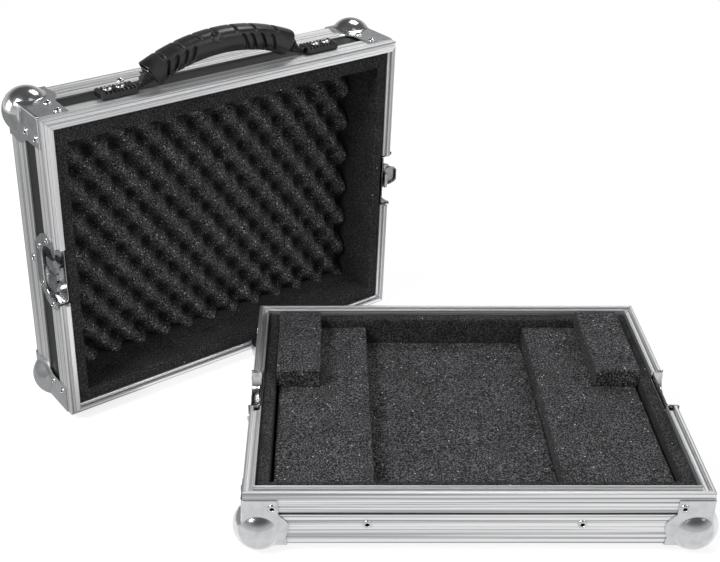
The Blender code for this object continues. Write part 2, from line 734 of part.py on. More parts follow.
def handle_grip():
    """Moulded grip: bowed, cupped at both ends, notched on top and grooved for the fingers."""
    steps = 22
    rings = []
    for i in range(steps + 1):
        x = GRIP_SHIFT - GRIP_HALF + 2 * GRIP_HALF * i / steps
        rings.append(section_ring(x, grip_height(x), grip_slope(x), grip_half_width(x),
                                  grip_half_height(x)))
    grip = loft(rings)
    cutters = []
    for share in NOTCH_SHARES:
        x = GRIP_HALF * share
        top = grip_height(x) + grip_half_height(x) * math.hypot(1, grip_slope(x))
        cutters.append(cylinder("z", (x, -top - NOTCH_RADIUS * 0.25), NOTCH_RADIUS,
                                -HANDLE_DEPTH - 0.02, -HANDLE_DEPTH + 0.02, 8))
    for share in GROOVE_SHARES:
        cutters += [finger_groove(GRIP_HALF * share, 1), finger_groove(GRIP_HALF * share, -1)]
    grip = cut(grip, gathered(cutters))
    for sign in (-1, 1):
        rings = []
        for share in (-0.3, 0.4, 1.0):
            x = GRIP_SHIFT + sign * (GRIP_HALF - CUFF_DEPTH * share)
            wide, tall = CUFF_HALF_WIDTH - CUFF_WALL, CUFF_HALF_HEIGHT - CUFF_WALL
            draw_in = 1 - 0.1 * max(share, 0)
            rings.append(section_ring(x, grip_height(x), grip_slope(x), wide * draw_in,
                                      tall * draw_in))
        grip = cut(grip, loft(rings))
    rings = []
    for i in range(13):
        x = GRIP_SHIFT - GRIP_HALF + 2 * GRIP_HALF * i / 12
        rings.append(section_ring(x, grip_height(x), grip_slope(x), CORE_HALF_WIDTH + SEAT,
                                  CORE_HALF_HEIGHT + SEAT, 8, 0.4))
    return cut(grip, loft(rings))


def neck_line(share, start):
    """Point and slope on the neck, from the grip's line at start down to the pin's line."""
    end = MOUNT_START - 0.0014
    run = end - start
    cubic = (2 * share ** 3 - 3 * share ** 2 + 1, share ** 3 - 2 * share ** 2 + share,
             -2 * share ** 3 + 3 * share ** 2)
    rates = (6 * share ** 2 - 6 * share, 3 * share ** 2 - 4 * share + 1, 6 * share - 6 * share ** 2)
    ends = (grip_height(start), grip_slope(start) * run, HANDLE_PIVOT)
    height = sum(a * b for a, b in zip(cubic, ends))
    slope = sum(a * b for a, b in zip(rates, ends)) / run
    return start + run * share, height, slope


def strap_half(sign):
    """Sections of the strap on one side, from its middle out to the tip of the hinge pin."""
    half = []
    start = GRIP_HALF - CUFF_DEPTH + sign * GRIP_SHIFT + 0.001
    for i in range(6):
        x = (start - 0.0008) * i / 5
        half.append((x, grip_height(x), grip_slope(x), CORE_HALF_WIDTH, CORE_HALF_HEIGHT))
    for i in range(2 * NECK_RIBS + 1):
        x, height, slope = neck_line(i / (2 * NECK_RIBS), start)
        flat = ease(i / (2 * NECK_RIBS), 0.2, 1.0)
        swell = 1.0 if i % 2 else 0.84
        half.append((x, height, slope, NECK_HALF_WIDTH * swell * (1 - 0.3 * flat),
                     NECK_HALF_HEIGHT * swell * (1 - 0.6 * flat)))
    shoulder = MOUNT_START - 0.0011
    tip = MOUNT_START + HINGE_PIN_LENGTH
    half.append((shoulder, HANDLE_PIVOT, 0, HINGE_PIN_RADIUS, HINGE_PIN_RADIUS))
    half.append((tip, HANDLE_PIVOT, 0, HINGE_PIN_RADIUS, HINGE_PIN_RADIUS))
    return [(sign * x, height, sign * slope, wide, tall) for x, height, slope, wide, tall in half]


def handle_strap():
    """Steel core with ribbed rubber necks and a hinge pin at each end."""
    rings = []
    for x, height, slope, wide, tall in strap_half(-1)[:0:-1] + strap_half(1):
        rings.append(section_ring(x, height, slope, wide, tall, 10, 1.0))
    return loft(rings)


def handle_mount():
    """Mount for one end of the handle, running along +x from the pin: ribbed top, blind bore."""
    end = MOUNT_START + MOUNT_LENGTH
    outline = [(MOUNT_START, -SEAT), (MOUNT_START, -MOUNT_RISE + 0.0012),
               (MOUNT_START + 0.0015, -MOUNT_RISE)]
    count = int((MOUNT_LENGTH - 0.008) / MOUNT_RIB)
    for i in range(count):
        x = MOUNT_START + 0.005 + MOUNT_RIB * i
        outline += [(x, -MOUNT_RISE), (x + 0.0004, -MOUNT_RISE + 0.0008),
                    (x + 0.0016, -MOUNT_RISE + 0.0008), (x + 0.002, -MOUNT_RISE)]
    outline += [(end - 0.0015, -MOUNT_RISE), (end, -MOUNT_RISE + 0.0015), (end, -SEAT)]
    near = -HANDLE_DEPTH + MOUNT_WIDTH / 2
    far = near - MOUNT_WIDTH
    block = prism(outline, "z", far, near)
    pad = box((MOUNT_START + 0.001, end - 0.001), (-2 * SEAT, ANGLE_SKIN),
              (far + 0.0005, -RIM_DROP - SEAT))
    bore = cylinder("x", (-HANDLE_PIVOT, -HANDLE_DEPTH), HINGE_PIN_RADIUS + SEAT,
                    MOUNT_START - 0.001, MOUNT_START + HINGE_PIN_LENGTH + 0.001, 12)
    return cut(joined(block, pad), bore)


def rubber_foot():
    """Round rubber foot, seated on the board between the two profiles, with a hollow face."""
    levels = [(ANGLE_SKIN, FOOT_RADIUS), (-FOOT_DROP * 0.3, FOOT_RADIUS),
              (-FOOT_DROP + 0.001, FOOT_RADIUS - 0.0012), (-FOOT_DROP, FOOT_RADIUS - 0.0022),
              (-FOOT_DROP, FOOT_RADIUS * 0.42), (-FOOT_DROP + 0.002, FOOT_RADIUS * 0.36)]
    rings = []
    for y, radius in levels:
        rings.append([(radius * math.cos(math.tau * i / 16), y, radius * math.sin(math.tau * i / 16))
                      for i in range(16)])
    return loft(rings)


def empty(name, matrix):
    """Frame that a half hangs on."""
    frame = bpy.data.objects.new(name, None)
    bpy.context.scene.collection.objects.link(frame)
    frame.matrix_world = matrix
    return frame


def lid_matrix():
    """Lid frame: standing on the wall opposite the handle, turned and leaning a little forward."""
    along = Vector((math.cos(LID_YAW), math.sin(LID_YAW), 0))
    level = Vector((-math.sin(LID_YAW), math.cos(LID_YAW), 0))
    up = Vector((0, 0, 1))
    deep = level * math.cos(LID_LEAN) + up * math.sin(LID_LEAN)
    high = up * math.cos(LID_LEAN) - level * math.sin(LID_LEAN)
    on_feet = FOOT_DROP * math.cos(LID_LEAN) - (STRIP_CENTRE - FOOT_RADIUS) * math.sin(LID_LEAN)
    on_balls = (BALL_RADIUS - BALL_INSET * math.cos(LID_LEAN)
                - (LID_HEIGHT - BALL_INSET) * math.sin(LID_LEAN))
    origin = Vector((-WIDTH / 2, DEPTH / 2, max(on_feet, on_balls)))
    origin += level * LID_BEHIND - along * LID_ALONG
    turn = Matrix((along, high, -deep)).transposed().to_4x4()
    move = origin - turn.to_3x3() @ Vector((-WIDTH / 2, -DEPTH / 2, LID_HEIGHT))
    return Matrix.Translation(move) @ turn


def build_shell(prefix, frame, height, section, pocket, shoulder, board_name, finishes):
    """Boards, edge angles, closing profiles and ball corners of one half."""
    board, alloy, steel = finishes
    reach_x = WIDTH / 2 - BOARD_OUT
    reach_y = DEPTH / 2 - BOARD_OUT
    add_part(prefix + board_name, box((-reach_x, reach_x), (-reach_y, reach_y), (BOARD_OUT, BOARD_IN)),
             board, frame)
    for side in SIDE_TURN:
        add_part(f"{prefix}_wall_{side}", wall_board(side, height, pocket), board, frame, wall(side))
        add_part(f"{prefix}_edge_{side}", mitred_bar(angle_section(), wall_length(side)), alloy, frame,
                 wall(side))
        add_part(f"{prefix}_rim_{side}", rim_bar(section, side), alloy, frame,
                 opening(side, height))
    fitting = ball_corner(shoulder, height, height - RIM_DROP - ANGLE_LEG > 4 * ANGLE_SKIN)
    for name in CORNER_TURN:
        add_part(f"{prefix}_corner_{name}", fitting, steel, frame, corner(name), smooth=35)


def build_base(frame, finishes, foam):
    """Tray base: shell, keepers, floor foam, lining, two platforms and two blocks."""
    build_shell("base", frame, BASE_HEIGHT, groove_section(), KEEPER_POCKET, BASE_SHOULDER,
                "_floor_panel", finishes)
    keeper = keeper_dish()
    for side in ("left", "right"):
        add_part(f"keeper_{side}", keeper, finishes[2], frame, opening(side, BASE_HEIGHT), smooth=35)
    low = BOARD_IN + SEAT
    ring = foam_ring(LINING_OUT, BASE_LINING, BASE_LINING, BASE_LINING, low,
                     BASE_HEIGHT - BASE_LINING_DROP)
    add_part("base_lining", softened(ring), foam, frame)
    inner_x = WIDTH / 2 - LINING_OUT - BASE_LINING
    inner_y = DEPTH / 2 - LINING_OUT - BASE_LINING
    bed = box((PLATFORM_LEFT_EDGE + SEAT, PLATFORM_RIGHT_EDGE - SEAT), (-inner_y + SEAT, inner_y - SEAT),
              (low, low + FLOOR_FOAM))
    add_part("base_floor_foam", softened(bed), foam, frame)
    plateau = low + FLOOR_FOAM + SEAT + PLATFORM_RISE
    edges = {"left": (-inner_x + FOAM_GAP, PLATFORM_LEFT_EDGE),
             "right": (PLATFORM_RIGHT_EDGE, inner_x - FOAM_GAP)}
    for side, x in edges.items():
        slab = box(x, (-inner_y + SEAT, inner_y - SEAT), (low, plateau))
        add_part(f"base_platform_{side}", softened(slab), foam, frame)
        sign = -1 if side == "left" else 1
        outer = sign * (inner_x - SEAT)
        inner = outer - sign * BLOCK_WIDTH
        back = inner_y - SEAT
        block = box((min(outer, inner), max(outer, inner)), (back - BLOCK_LENGTH, back),
                    (plateau + SEAT, plateau + SEAT + BLOCK_RISE))
        add_part(f"base_block_{side}", softened(block), foam, frame)


def build_latch(side, frame, finishes):
    """One butterfly latch in its photographed state: dish, hook, cam and two wings."""
    steel = finishes[2]
    turn, travel, front_lift, rear_lift = LATCH_STATE[side]
    place = opening(side, LID_HEIGHT)
    spindle = (0, CAM_FACE, -CAM_DEPTH)
    add_part(f"latch_{side}_dish", latch_dish(), steel, frame, place, smooth=35)
    slid = place @ Matrix.Translation((0, 0, travel))
    add_part(f"latch_{side}_hook", latch_hook(), steel, frame, slid, spindle)
    spun = (place @ Matrix.Translation((0, 0, -CAM_DEPTH)) @ Matrix.Rotation(turn, 4, "Y")
            @ Matrix.Translation((0, 0, CAM_DEPTH)))
    add_part(f"latch_{side}_cam", latch_cam(), steel, frame, spun, spindle, smooth=35)
    for name, sign, lift in (("front", 1, front_lift), ("rear", -1, math.pi - rear_lift)):
        knuckle = Matrix.Translation((0, KNUCKLE_DEPTH, -CAM_DEPTH + sign * WING_SPREAD))
        raised = spun @ knuckle @ Matrix.Rotation(lift, 4, "X")
        wing = latch_wing() if sign > 0 else moved(latch_wing(), Matrix.Rotation(math.pi, 4, "Z"))
        add_part(f"latch_{side}_wing_{name}", wing, steel, frame, raised, smooth=35)


def build_lid(frame, finishes, foam, rubber):
    """Lift-off lid: shell, latches, handle, feet, lining and the convoluted pad."""
    build_shell("lid", frame, LID_HEIGHT, tongue_section(), LATCH_POCKET, LID_SHOULDER, "_panel",
                finishes)
    for side in ("left", "right"):
        build_latch(side, frame, finishes)
    top = opening("back", LID_HEIGHT)
    pivot = (0, -HANDLE_PIVOT, -HANDLE_DEPTH)
    add_part("handle_grip", handle_grip(), rubber, frame, top, pivot, smooth=50)
    add_part("handle_strap", handle_strap(), rubber, frame, top, pivot, smooth=50)
    mount = handle_mount()
    turned = moved(mount, Matrix.Diagonal((-1, 1, 1, 1)))
    add_part("handle_mount_left", mount, rubber, frame, top)
    add_part("handle_mount_right", upside_out(turned), rubber, frame, top)
    foot = rubber_foot()
    for name, x in (("left", -FOOT_SPAN), ("right", FOOT_SPAN)):
        seat = opening("front", LID_HEIGHT) @ Matrix.Translation((x, 0, -STRIP_CENTRE))
        add_part(f"lid_foot_{name}", foot, rubber, frame, seat, smooth=50)
    low = BOARD_IN + SEAT
    ring = foam_ring(LINING_OUT, LID_LINING_FOOT, LID_LINING_TOP, LID_LINING_SIDE, low,
                     LID_HEIGHT - LID_LINING_DROP)
    add_part("lid_lining", softened(ring), foam, frame)
    side_in = WIDTH / 2 - LINING_OUT - LID_LINING_SIDE
    pad_x = (-side_in + SEAT, side_in - EGG_RIGHT_GAP)
    pad_y = (-DEPTH / 2 + LINING_OUT + LID_LINING_FOOT + SEAT,
             DEPTH / 2 - LINING_OUT - LID_LINING_TOP - SEAT)
    add_part("lid_egg_pad", egg_crate(pad_x, pad_y, low), foam, frame, smooth=60)


def build():
    """Whole case."""
    for old in list(bpy.data.objects):
        bpy.data.objects.remove(old)
    board = material("black_laminated_board", (0.022, 0.022, 0.024), 0.38)
    alloy = material("anodised_aluminium", (0.78, 0.79, 0.80), 0.32, 1.0)
    steel = material("bright_plated_steel", (0.80, 0.80, 0.81), 0.18, 1.0)
    foam = material("black_foam", (0.028, 0.028, 0.031), 0.95)
    rubber = material("black_rubber", (0.02, 0.02, 0.022), 0.55)
    finishes = (board, alloy, steel)
    shift = Matrix.Translation((LAYOUT_X, LAYOUT_Y, 0))
    base_frame = empty("base_frame", shift @ Matrix.Translation((0, 0, BALL_STAND)))
    lid_frame = empty("lid_frame", shift @ lid_matrix())
    build_base(base_frame, finishes, foam)
    build_lid(lid_frame, finishes, foam, rubber)
    bpy.context.view_layer.update()


build()
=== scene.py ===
"""Finished look of an effects unit's flight case, open: the tray base and the lift-off lid.

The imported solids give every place. Boards and closing profiles keep their solids and get their
real finish. Foam, ball castings, latch plates, handle and fastenings are surfaces worked out on
grids: a shape is a function of two parameters, or a profile carried along a path.
Metres, +Z up. Each half has its own frame, with its outer face at z = 0 and its opening at
z = height. A wall frame has x along the wall, y inward from its outer plane, and z upward.
"""

import json
import logging
import math
from collections.abc import Iterable, Sequence
from dataclasses import dataclass, field
from enum import Enum

import bmesh
import bpy
import numpy as np
from mathutils import Euler, Matrix, Vector

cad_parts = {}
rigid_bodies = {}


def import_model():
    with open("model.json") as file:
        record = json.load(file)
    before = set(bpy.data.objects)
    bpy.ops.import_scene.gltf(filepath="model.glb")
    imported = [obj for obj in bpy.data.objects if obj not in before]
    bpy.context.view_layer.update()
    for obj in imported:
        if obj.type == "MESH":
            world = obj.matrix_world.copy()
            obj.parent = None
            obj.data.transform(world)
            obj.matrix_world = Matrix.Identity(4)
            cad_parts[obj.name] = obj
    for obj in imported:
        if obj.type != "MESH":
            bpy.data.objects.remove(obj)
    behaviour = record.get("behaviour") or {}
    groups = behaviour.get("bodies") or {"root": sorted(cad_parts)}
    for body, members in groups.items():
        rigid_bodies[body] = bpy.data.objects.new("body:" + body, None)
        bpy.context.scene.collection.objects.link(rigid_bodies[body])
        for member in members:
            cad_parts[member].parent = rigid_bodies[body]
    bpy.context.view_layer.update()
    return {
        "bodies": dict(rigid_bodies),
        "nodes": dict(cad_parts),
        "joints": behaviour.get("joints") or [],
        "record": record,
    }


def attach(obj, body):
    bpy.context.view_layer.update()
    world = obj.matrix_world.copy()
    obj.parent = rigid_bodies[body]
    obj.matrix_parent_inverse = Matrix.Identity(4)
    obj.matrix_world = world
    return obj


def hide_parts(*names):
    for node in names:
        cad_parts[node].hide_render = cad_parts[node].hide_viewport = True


LOG = logging.getLogger("flight_case")
MM = 0.001


class Side(Enum):
    """The four walls of a half, with the turn from the front wall's frame in degrees."""

    FRONT = 0
    RIGHT = 90
    BACK = 180
    LEFT = -90


class Corner(Enum):
    """The four corners of a half: sign across, sign along the depth, and turn in degrees."""

    FRONT_LEFT = (-1, -1, 0)
    FRONT_RIGHT = (1, -1, 90)
    BACK_RIGHT = (1, 1, 180)
    BACK_LEFT = (-1, 1, -90)


@dataclass(frozen=True)
class CaseLayout:
    """Sizes and places that both halves share, the same as in the solids.

    The lid's lower left corner starts at the base's back left corner and moves in the lid's own
    directions, by "behind" away from the base and by "along" to the left. Then "shift" moves
    the whole part over the origin. The feet's centres lie "strip_centre" from the lid's opening.
    """

    width: float = 0.400
    depth: float = 0.3184
    base_height: float = 0.0555
    lid_height: float = 0.0755
    ball_radius: float = 0.0233
    ball_inset: float = 0.0128
    foot_drop: float = 0.0089
    foot_radius: float = 0.01075
    strip_centre: float = 0.0324
    along: float = 0.2220
    behind: float = 0.0102
    yaw: float = math.radians(36.14)
    lean: float = math.radians(2.17)
    shift: tuple[float, float] = (0.1122, -0.0843)

    def base_frame(self) -> Matrix:
        """Frame of the base, lying on its ball castings."""
        lift = self.ball_radius - self.ball_inset
        return Matrix.Translation((self.shift[0], self.shift[1], lift))

    def lid_frame(self) -> Matrix:
        """Frame of the lid, standing on the wall opposite the handle and leaning forward.

        Returns:
            Matrix from the lid's own frame to the row frame.
        """
        along = Vector((math.cos(self.yaw), math.sin(self.yaw), 0))
        level = Vector((-math.sin(self.yaw), math.cos(self.yaw), 0))
        up = Vector((0, 0, 1))
        deep = level * math.cos(self.lean) + up * math.sin(self.lean)
        high = up * math.cos(self.lean) - level * math.sin(self.lean)
        on_feet = (self.foot_drop * math.cos(self.lean)
                   - (self.strip_centre - self.foot_radius) * math.sin(self.lean))
        on_balls = (self.ball_radius - self.ball_inset * math.cos(self.lean)
                    - (self.lid_height - self.ball_inset) * math.sin(self.lean))
        foot = Vector((-self.width / 2, self.depth / 2, max(on_feet, on_balls)))
        foot += level * self.behind - along * self.along
        turn = Matrix((along, high, -deep)).transposed().to_4x4()
        move = foot - turn.to_3x3() @ Vector((-self.width / 2, -self.depth / 2, self.lid_height))
        return Matrix.Translation((*self.shift, 0)) @ Matrix.Translation(move) @ turn

    def wall(self, side: Side, height: float = 0.0) -> Matrix:
        """Frame of a wall in its half, raised to a height above the outer face.

        Args:
            side: Which wall.
            height: Height of the frame's origin.

        Returns:
            Matrix from the wall frame to the half's frame.
        """
        reach = self.depth / 2 if side in (Side.FRONT, Side.BACK) else self.width / 2
        turn = Matrix.Rotation(math.radians(side.value), 4, "Z")
        return turn @ Matrix.Translation((0, -reach, height))

    def corner(self, corner: Corner) -> Matrix:
        """Frame of a corner in its half, with x and y running inward along the two walls.

        Args:
            corner: Which corner.

        Returns:
            Matrix from the corner frame to the half's frame.
        """
        across, along, turn = corner.value
        spot = (across * self.width / 2, along * self.depth / 2, 0)
        return Matrix.Translation(spot) @ Matrix.Rotation(math.radians(turn), 4, "Z")


# Finishes

def linear(colour: str) -> tuple[float, float, float, float]:
    """Linear RGBA of an sRGB colour.

    Args:
        colour: Hex code such as #1A2B3C.

    Returns:
        Red, green, blue and alpha.
    """
    parts = [int(colour[i:i + 2], 16) / 255 for i in (1, 3, 5)]
    rgb = [p / 12.92 if p <= 0.04045 else ((p + 0.055) / 1.055) ** 2.4 for p in parts]
    return (rgb[0], rgb[1], rgb[2], 1.0)


def add_node(tree: bpy.types.NodeTree, kind: str, inputs: dict | None = None,
             stops: Sequence[tuple[float, str]] = (), **settings: object) -> bpy.types.Node:
    """Adds one node with its settings and links.

    Args:
        tree: Node tree that takes it.
        kind: Node type.
        inputs: Socket name or number to a value, or to an output socket to link.
        stops: Position and sRGB hex code of each stop, where the node is a colour ramp.
        **settings: Attributes of the node.

    Returns:
        The new node.
    """
    node = tree.nodes.new(kind)
    for name, value in settings.items():
        setattr(node, name, value)
    for name, value in (inputs or {}).items():
        if isinstance(value, bpy.types.NodeSocket):
            tree.links.new(value, node.inputs[name])
        else:
            node.inputs[name].default_value = value
    if stops:
        elements = node.color_ramp.elements
        while len(elements) < len(stops):
            elements.new(0.5)
        for element, (position, colour) in zip(elements, stops):
            element.position = position
            element.color = linear(colour)
    return node


def blank_material(name: str) -> tuple[bpy.types.Material, bpy.types.NodeTree, bpy.types.Node]:
    """New material with its node tree and Principled shader.

    Args:
        name: Name of the material.

    Returns:
        The material, its node tree and its shader.
    """
    made = bpy.data.materials.new(name)
    made.use_nodes = True
    return made, made.node_tree, made.node_tree.nodes["Principled BSDF"]


@dataclass(frozen=True)
class DrawnAluminium:
    """Anodised aluminium extrusion: satin, with fine die lines along the bar.

    The die leaves lines about 0.4 mm apart, drawn here about 1.2 mm apart so that they show,
    and anodising keeps the metal pale with a soft, slightly uneven shine. Two noises, fine and
    broad, are stretched along the bar and added, so the sum lies about 1.
    """

    bright: str = "#F4F4F5"
    pale: str = "#E2E3E4"
    dull: str = "#9FA1A3"
    roughness: float = 0.5
    rougher: float = 0.1
    smoother: float = 0.06
    line_spacing: float = 1.2 * MM
    line_length: float = 500 * MM
    line_depth: float = 0.15 * MM
    broad_share: float = 0.42

    def make(self, name: str, frame: Matrix) -> bpy.types.Material:
        """Material with its lines along the x axis of a frame.

        Args:
            name: Name of the material.
            frame: Frame whose x axis runs along the bar.

        Returns:
            The material.
        """
        made, tree, shader = blank_material(name)
        place = add_node(tree, "ShaderNodeTexCoord").outputs["Object"]
        along = add_node(tree, "ShaderNodeMapping", {
            "Vector": place, "Rotation": frame.to_euler(),
            "Scale": (self.line_length, self.line_spacing, self.line_spacing)},
            vector_type="TEXTURE").outputs[0]
        fine = add_node(tree, "ShaderNodeTexNoise", {
            "Vector": along, "Scale": 1.0, "Detail": 2.0, "Roughness": 0.6})
        broad = add_node(tree, "ShaderNodeTexNoise", {
            "Vector": along, "Scale": self.broad_share, "Detail": 1.0})
        lines = add_node(tree, "ShaderNodeMath", {
            0: fine.outputs["Fac"], 1: broad.outputs["Fac"]}, operation="ADD").outputs[0]
        tone = add_node(tree, "ShaderNodeValToRGB", {"Fac": lines}, [
            (0.80, self.dull), (1.0, self.pale), (1.12, self.bright)])
        tree.links.new(tone.outputs["Color"], shader.inputs["Base Color"])
        rough = add_node(tree, "ShaderNodeMapRange", {
            "Value": lines, "From Min": 0.8, "From Max": 1.2,
            "To Min": self.roughness + self.rougher, "To Max": self.roughness - self.smoother})
        tree.links.new(rough.outputs[0], shader.inputs["Roughness"])
        bump = add_node(tree, "ShaderNodeBump", {
            "Height": lines, "Strength": 0.5, "Distance": self.line_depth})
        tree.links.new(bump.outputs["Normal"], shader.inputs["Normal"])
        shader.inputs["Metallic"].default_value = 1.0
        return made


@dataclass(frozen=True)
class PlatedSteel:
    """Bright zinc plated pressed steel: mirror-like, with faint hollows from the press.

    The plating's own grain is far finer. It is drawn 1.1 mm wide, so that the shine varies.
    """

    colour: str = "#DADBDD"
    dull: str = "#C8CACC"
    roughness: float = 0.14
    rougher: float = 0.1
    smoother: float = 0.03
    hollow_span: float = 9 * MM
    hollow_depth: float = 0.06 * MM
    grain: float = MM / 0.9

    def make(self, name: str) -> bpy.types.Material:
        """Makes the material.

        Args:
            name: Name of the material.

        Returns:
            The material.
        """
        made, tree, shader = blank_material(name)
        place = add_node(tree, "ShaderNodeTexCoord").outputs["Object"]
        hollows = add_node(tree, "ShaderNodeTexNoise", {
            "Vector": place, "Scale": 1 / self.hollow_span, "Detail": 2.0}).outputs["Fac"]
        tone = add_node(tree, "ShaderNodeValToRGB", {"Fac": hollows}, [
            (0.25, self.dull), (0.6, self.colour)])
        tree.links.new(tone.outputs["Color"], shader.inputs["Base Color"])
        grain = add_node(tree, "ShaderNodeTexNoise", {
            "Vector": place, "Scale": 1 / self.grain, "Detail": 1.0})
        rough = add_node(tree, "ShaderNodeMapRange", {
            "Value": grain.outputs["Fac"], "To Min": self.roughness - self.smoother,
            "To Max": self.roughness + self.rougher})
        tree.links.new(rough.outputs[0], shader.inputs["Roughness"])
        bump = add_node(tree, "ShaderNodeBump", {
            "Height": hollows, "Strength": 0.5, "Distance": self.hollow_depth})
        tree.links.new(bump.outputs["Normal"], shader.inputs["Normal"])
        shader.inputs["Metallic"].default_value = 1.0
        return made


@dataclass(frozen=True)
class PhenolicBoard:
    """Birch plywood under a black phenolic film: dark satin with a faint pressed grain."""

    colour: str = "#101112"
    light: str = "#1D1E20"
    roughness: float = 0.5
    shine: float = 0.5
    grain: float = 1.6 * MM
    grain_depth: float = 0.08 * MM

    def make(self, name: str) -> bpy.types.Material:
        """Makes the material.

        Args:
            name: Name of the material.

        Returns:
            The material.
        """
        made, tree, shader = blank_material(name)
        place = add_node(tree, "ShaderNodeTexCoord").outputs["Object"]
        grain = add_node(tree, "ShaderNodeTexNoise", {
            "Vector": place, "Scale": 1 / self.grain, "Detail": 3.0}).outputs["Fac"]
        tone = add_node(tree, "ShaderNodeValToRGB", {"Fac": grain}, [
            (0.35, self.colour), (0.75, self.light)])
        tree.links.new(tone.outputs["Color"], shader.inputs["Base Color"])
        bump = add_node(tree, "ShaderNodeBump", {
            "Height": grain, "Strength": 0.25, "Distance": self.grain_depth})
        tree.links.new(bump.outputs["Normal"], shader.inputs["Normal"])
        shader.inputs["Roughness"].default_value = self.roughness
        shader.inputs["Specular IOR Level"].default_value = self.shine
        return made


@dataclass(frozen=True)
class OpenCellFoam:
    """Charcoal polyurethane foam, cut on a saw: matt, pitted by its cells.

    The cells are about 0.7 mm across. They are drawn about 1.4 mm across so that they show,
    with pits darkened by painted shade, grey webs, and here and there a web given a painted
    highlight, plus a few painted glints. Where a frame and a depth are given, painted shade
    darkens the foam toward the bottom of its hollows and painted light brightens its peaks.
    """

    # Pits: painted shade in the cells. Webs: the foam's own grey. Glint: painted highlight on the
    # lightest webs.
    pit_shade: str = "#131314"
    web: str = "#424244"
    glint: str = "#747476"
    # Colour of the painted glints, small bright dots on a few webs.
    spark: str = "#C8C8C8"
    cell: float = 1.4 * MM
    cell_depth: float = 0.9 * MM
    painted_glint_cell: float = 2.2 * MM
    painted_glint_share: float = 0.02
    painted_glint_reach: float = 0.32
    patch_span: float = 25 * MM
    patch_tones: tuple[float, float] = (0.8, 1.15)
    # Painted shade and light by height: tone at the bottom of the hollows and at the peaks.
    painted_depth_shade: tuple[float, float] = (0.12, 1.25)
    roughness: float = 0.95
    shine: float = 0.15

    def shade(self, tree: bpy.types.NodeTree, place: bpy.types.NodeSocket, frame: Matrix | None,
              hollow: tuple[float, float]) -> bpy.types.NodeSocket:
        """Slow change of tone: patches, times painted shade that darkens the hollows and painted light
        that brightens the peaks, where they are given.

        Args:
            tree: Node tree.
            place: Object coordinates.
            frame: Frame whose z axis gives the depth of the hollows for the painted shade.
            hollow: Lowest and highest z of the hollows, over which the painted shade runs from darkest
                to lightest.

        Returns:
            Output of a factor about 1.
        """
        patch = add_node(tree, "ShaderNodeTexNoise", {
            "Vector": place, "Scale": 1 / self.patch_span, "Detail": 2.0})
        shade = add_node(tree, "ShaderNodeMapRange", {
            "Value": patch.outputs["Fac"], "From Min": 0.3, "From Max": 0.7,
            "To Min": self.patch_tones[0], "To Max": self.patch_tones[1]}).outputs[0]
        if frame is None:
            return shade
        local = add_node(tree, "ShaderNodeMapping", {
            "Vector": place, "Location": frame.to_translation(),
            "Rotation": frame.to_euler()}, vector_type="TEXTURE")
        height = add_node(tree, "ShaderNodeSeparateXYZ", {"Vector": local.outputs[0]})
        # Painted shade: darker toward the bottom of the hollows, lighter toward the peaks.
        deep = add_node(tree, "ShaderNodeMapRange", {
            "Value": height.outputs["Z"], "From Min": hollow[0], "From Max": hollow[1],
            "To Min": self.painted_depth_shade[0], "To Max": self.painted_depth_shade[1]},
            interpolation_type="SMOOTHSTEP")
        return add_node(tree, "ShaderNodeMath", {0: shade, 1: deep.outputs[0]},
                        operation="MULTIPLY").outputs[0]

    def painted_glints(self, tree: bpy.types.NodeTree, place: bpy.types.NodeSocket) -> bpy.types.NodeSocket:
        """Mask of the painted glints on the foam: one at the middles of some cells of a pattern.

        Args:
            tree: Node tree.
            place: Object coordinates.

        Returns:
            Output that is one there, and nought elsewhere.
        """
        cells = add_node(tree, "ShaderNodeTexVoronoi", {"Vector": place, "Scale": 1 / self.painted_glint_cell})
        chance = add_node(tree, "ShaderNodeSeparateColor", {"Color": cells.outputs["Color"]})
        chosen = add_node(tree, "ShaderNodeMath", {0: chance.outputs[0], 1: 1 - self.painted_glint_share},
                          operation="GREATER_THAN")
        near = add_node(tree, "ShaderNodeMath", {0: cells.outputs["Distance"], 1: self.painted_glint_reach},
                        operation="LESS_THAN")
        return add_node(tree, "ShaderNodeMath", {0: chosen.outputs[0], 1: near.outputs[0]},
                        operation="MULTIPLY").outputs[0]

    def make(self, name: str, frame: Matrix | None = None,
             hollow: tuple[float, float] = (0.0, 0.0)) -> bpy.types.Material:
        """Makes the material.

        Args:
            name: Name of the material.
            frame: Frame whose z axis gives the depth of the hollows for the painted shade.
            hollow: Lowest and highest z of the hollows, over which the painted shade runs from darkest
                to lightest.

        Returns:
            The material.
        """
        made, tree, shader = blank_material(name)
        place = add_node(tree, "ShaderNodeTexCoord").outputs["Object"]
        cells = add_node(tree, "ShaderNodeTexNoise", {
            "Vector": place, "Scale": 1 / self.cell, "Detail": 2.0, "Roughness": 0.65})
        # Cell tone: painted shade in the pits, grey webs, and a painted highlight on the lightest
        # webs.
        tone = add_node(tree, "ShaderNodeValToRGB", {"Fac": cells.outputs["Fac"]}, [
            (0.40, self.pit_shade), (0.53, self.web), (0.64, self.glint)])
        shade = self.shade(tree, place, frame, hollow)
        webs = add_node(tree, "ShaderNodeMix", {"Factor": 1.0, 6: tone.outputs["Color"], 7: shade},
                        data_type="RGBA", blend_type="MULTIPLY")
        # Painted glints: bright dots mixed into the colour, dimmed where the tone is low.
        bright = add_node(tree, "ShaderNodeMath", {0: self.painted_glints(tree, place), 1: shade},
                          operation="MULTIPLY", use_clamp=True)
        mixed = add_node(tree, "ShaderNodeMix", {
            "Factor": bright.outputs[0], 6: webs.outputs[2], 7: linear(self.spark)},
            data_type="RGBA")
        tree.links.new(mixed.outputs[2], shader.inputs["Base Color"])
        bump = add_node(tree, "ShaderNodeBump", {
            "Height": cells.outputs["Fac"], "Strength": 1.0, "Distance": self.cell_depth})
        tree.links.new(bump.outputs["Normal"], shader.inputs["Normal"])
        shader.inputs["Roughness"].default_value = self.roughness
        shader.inputs["Specular IOR Level"].default_value = self.shine
        return made


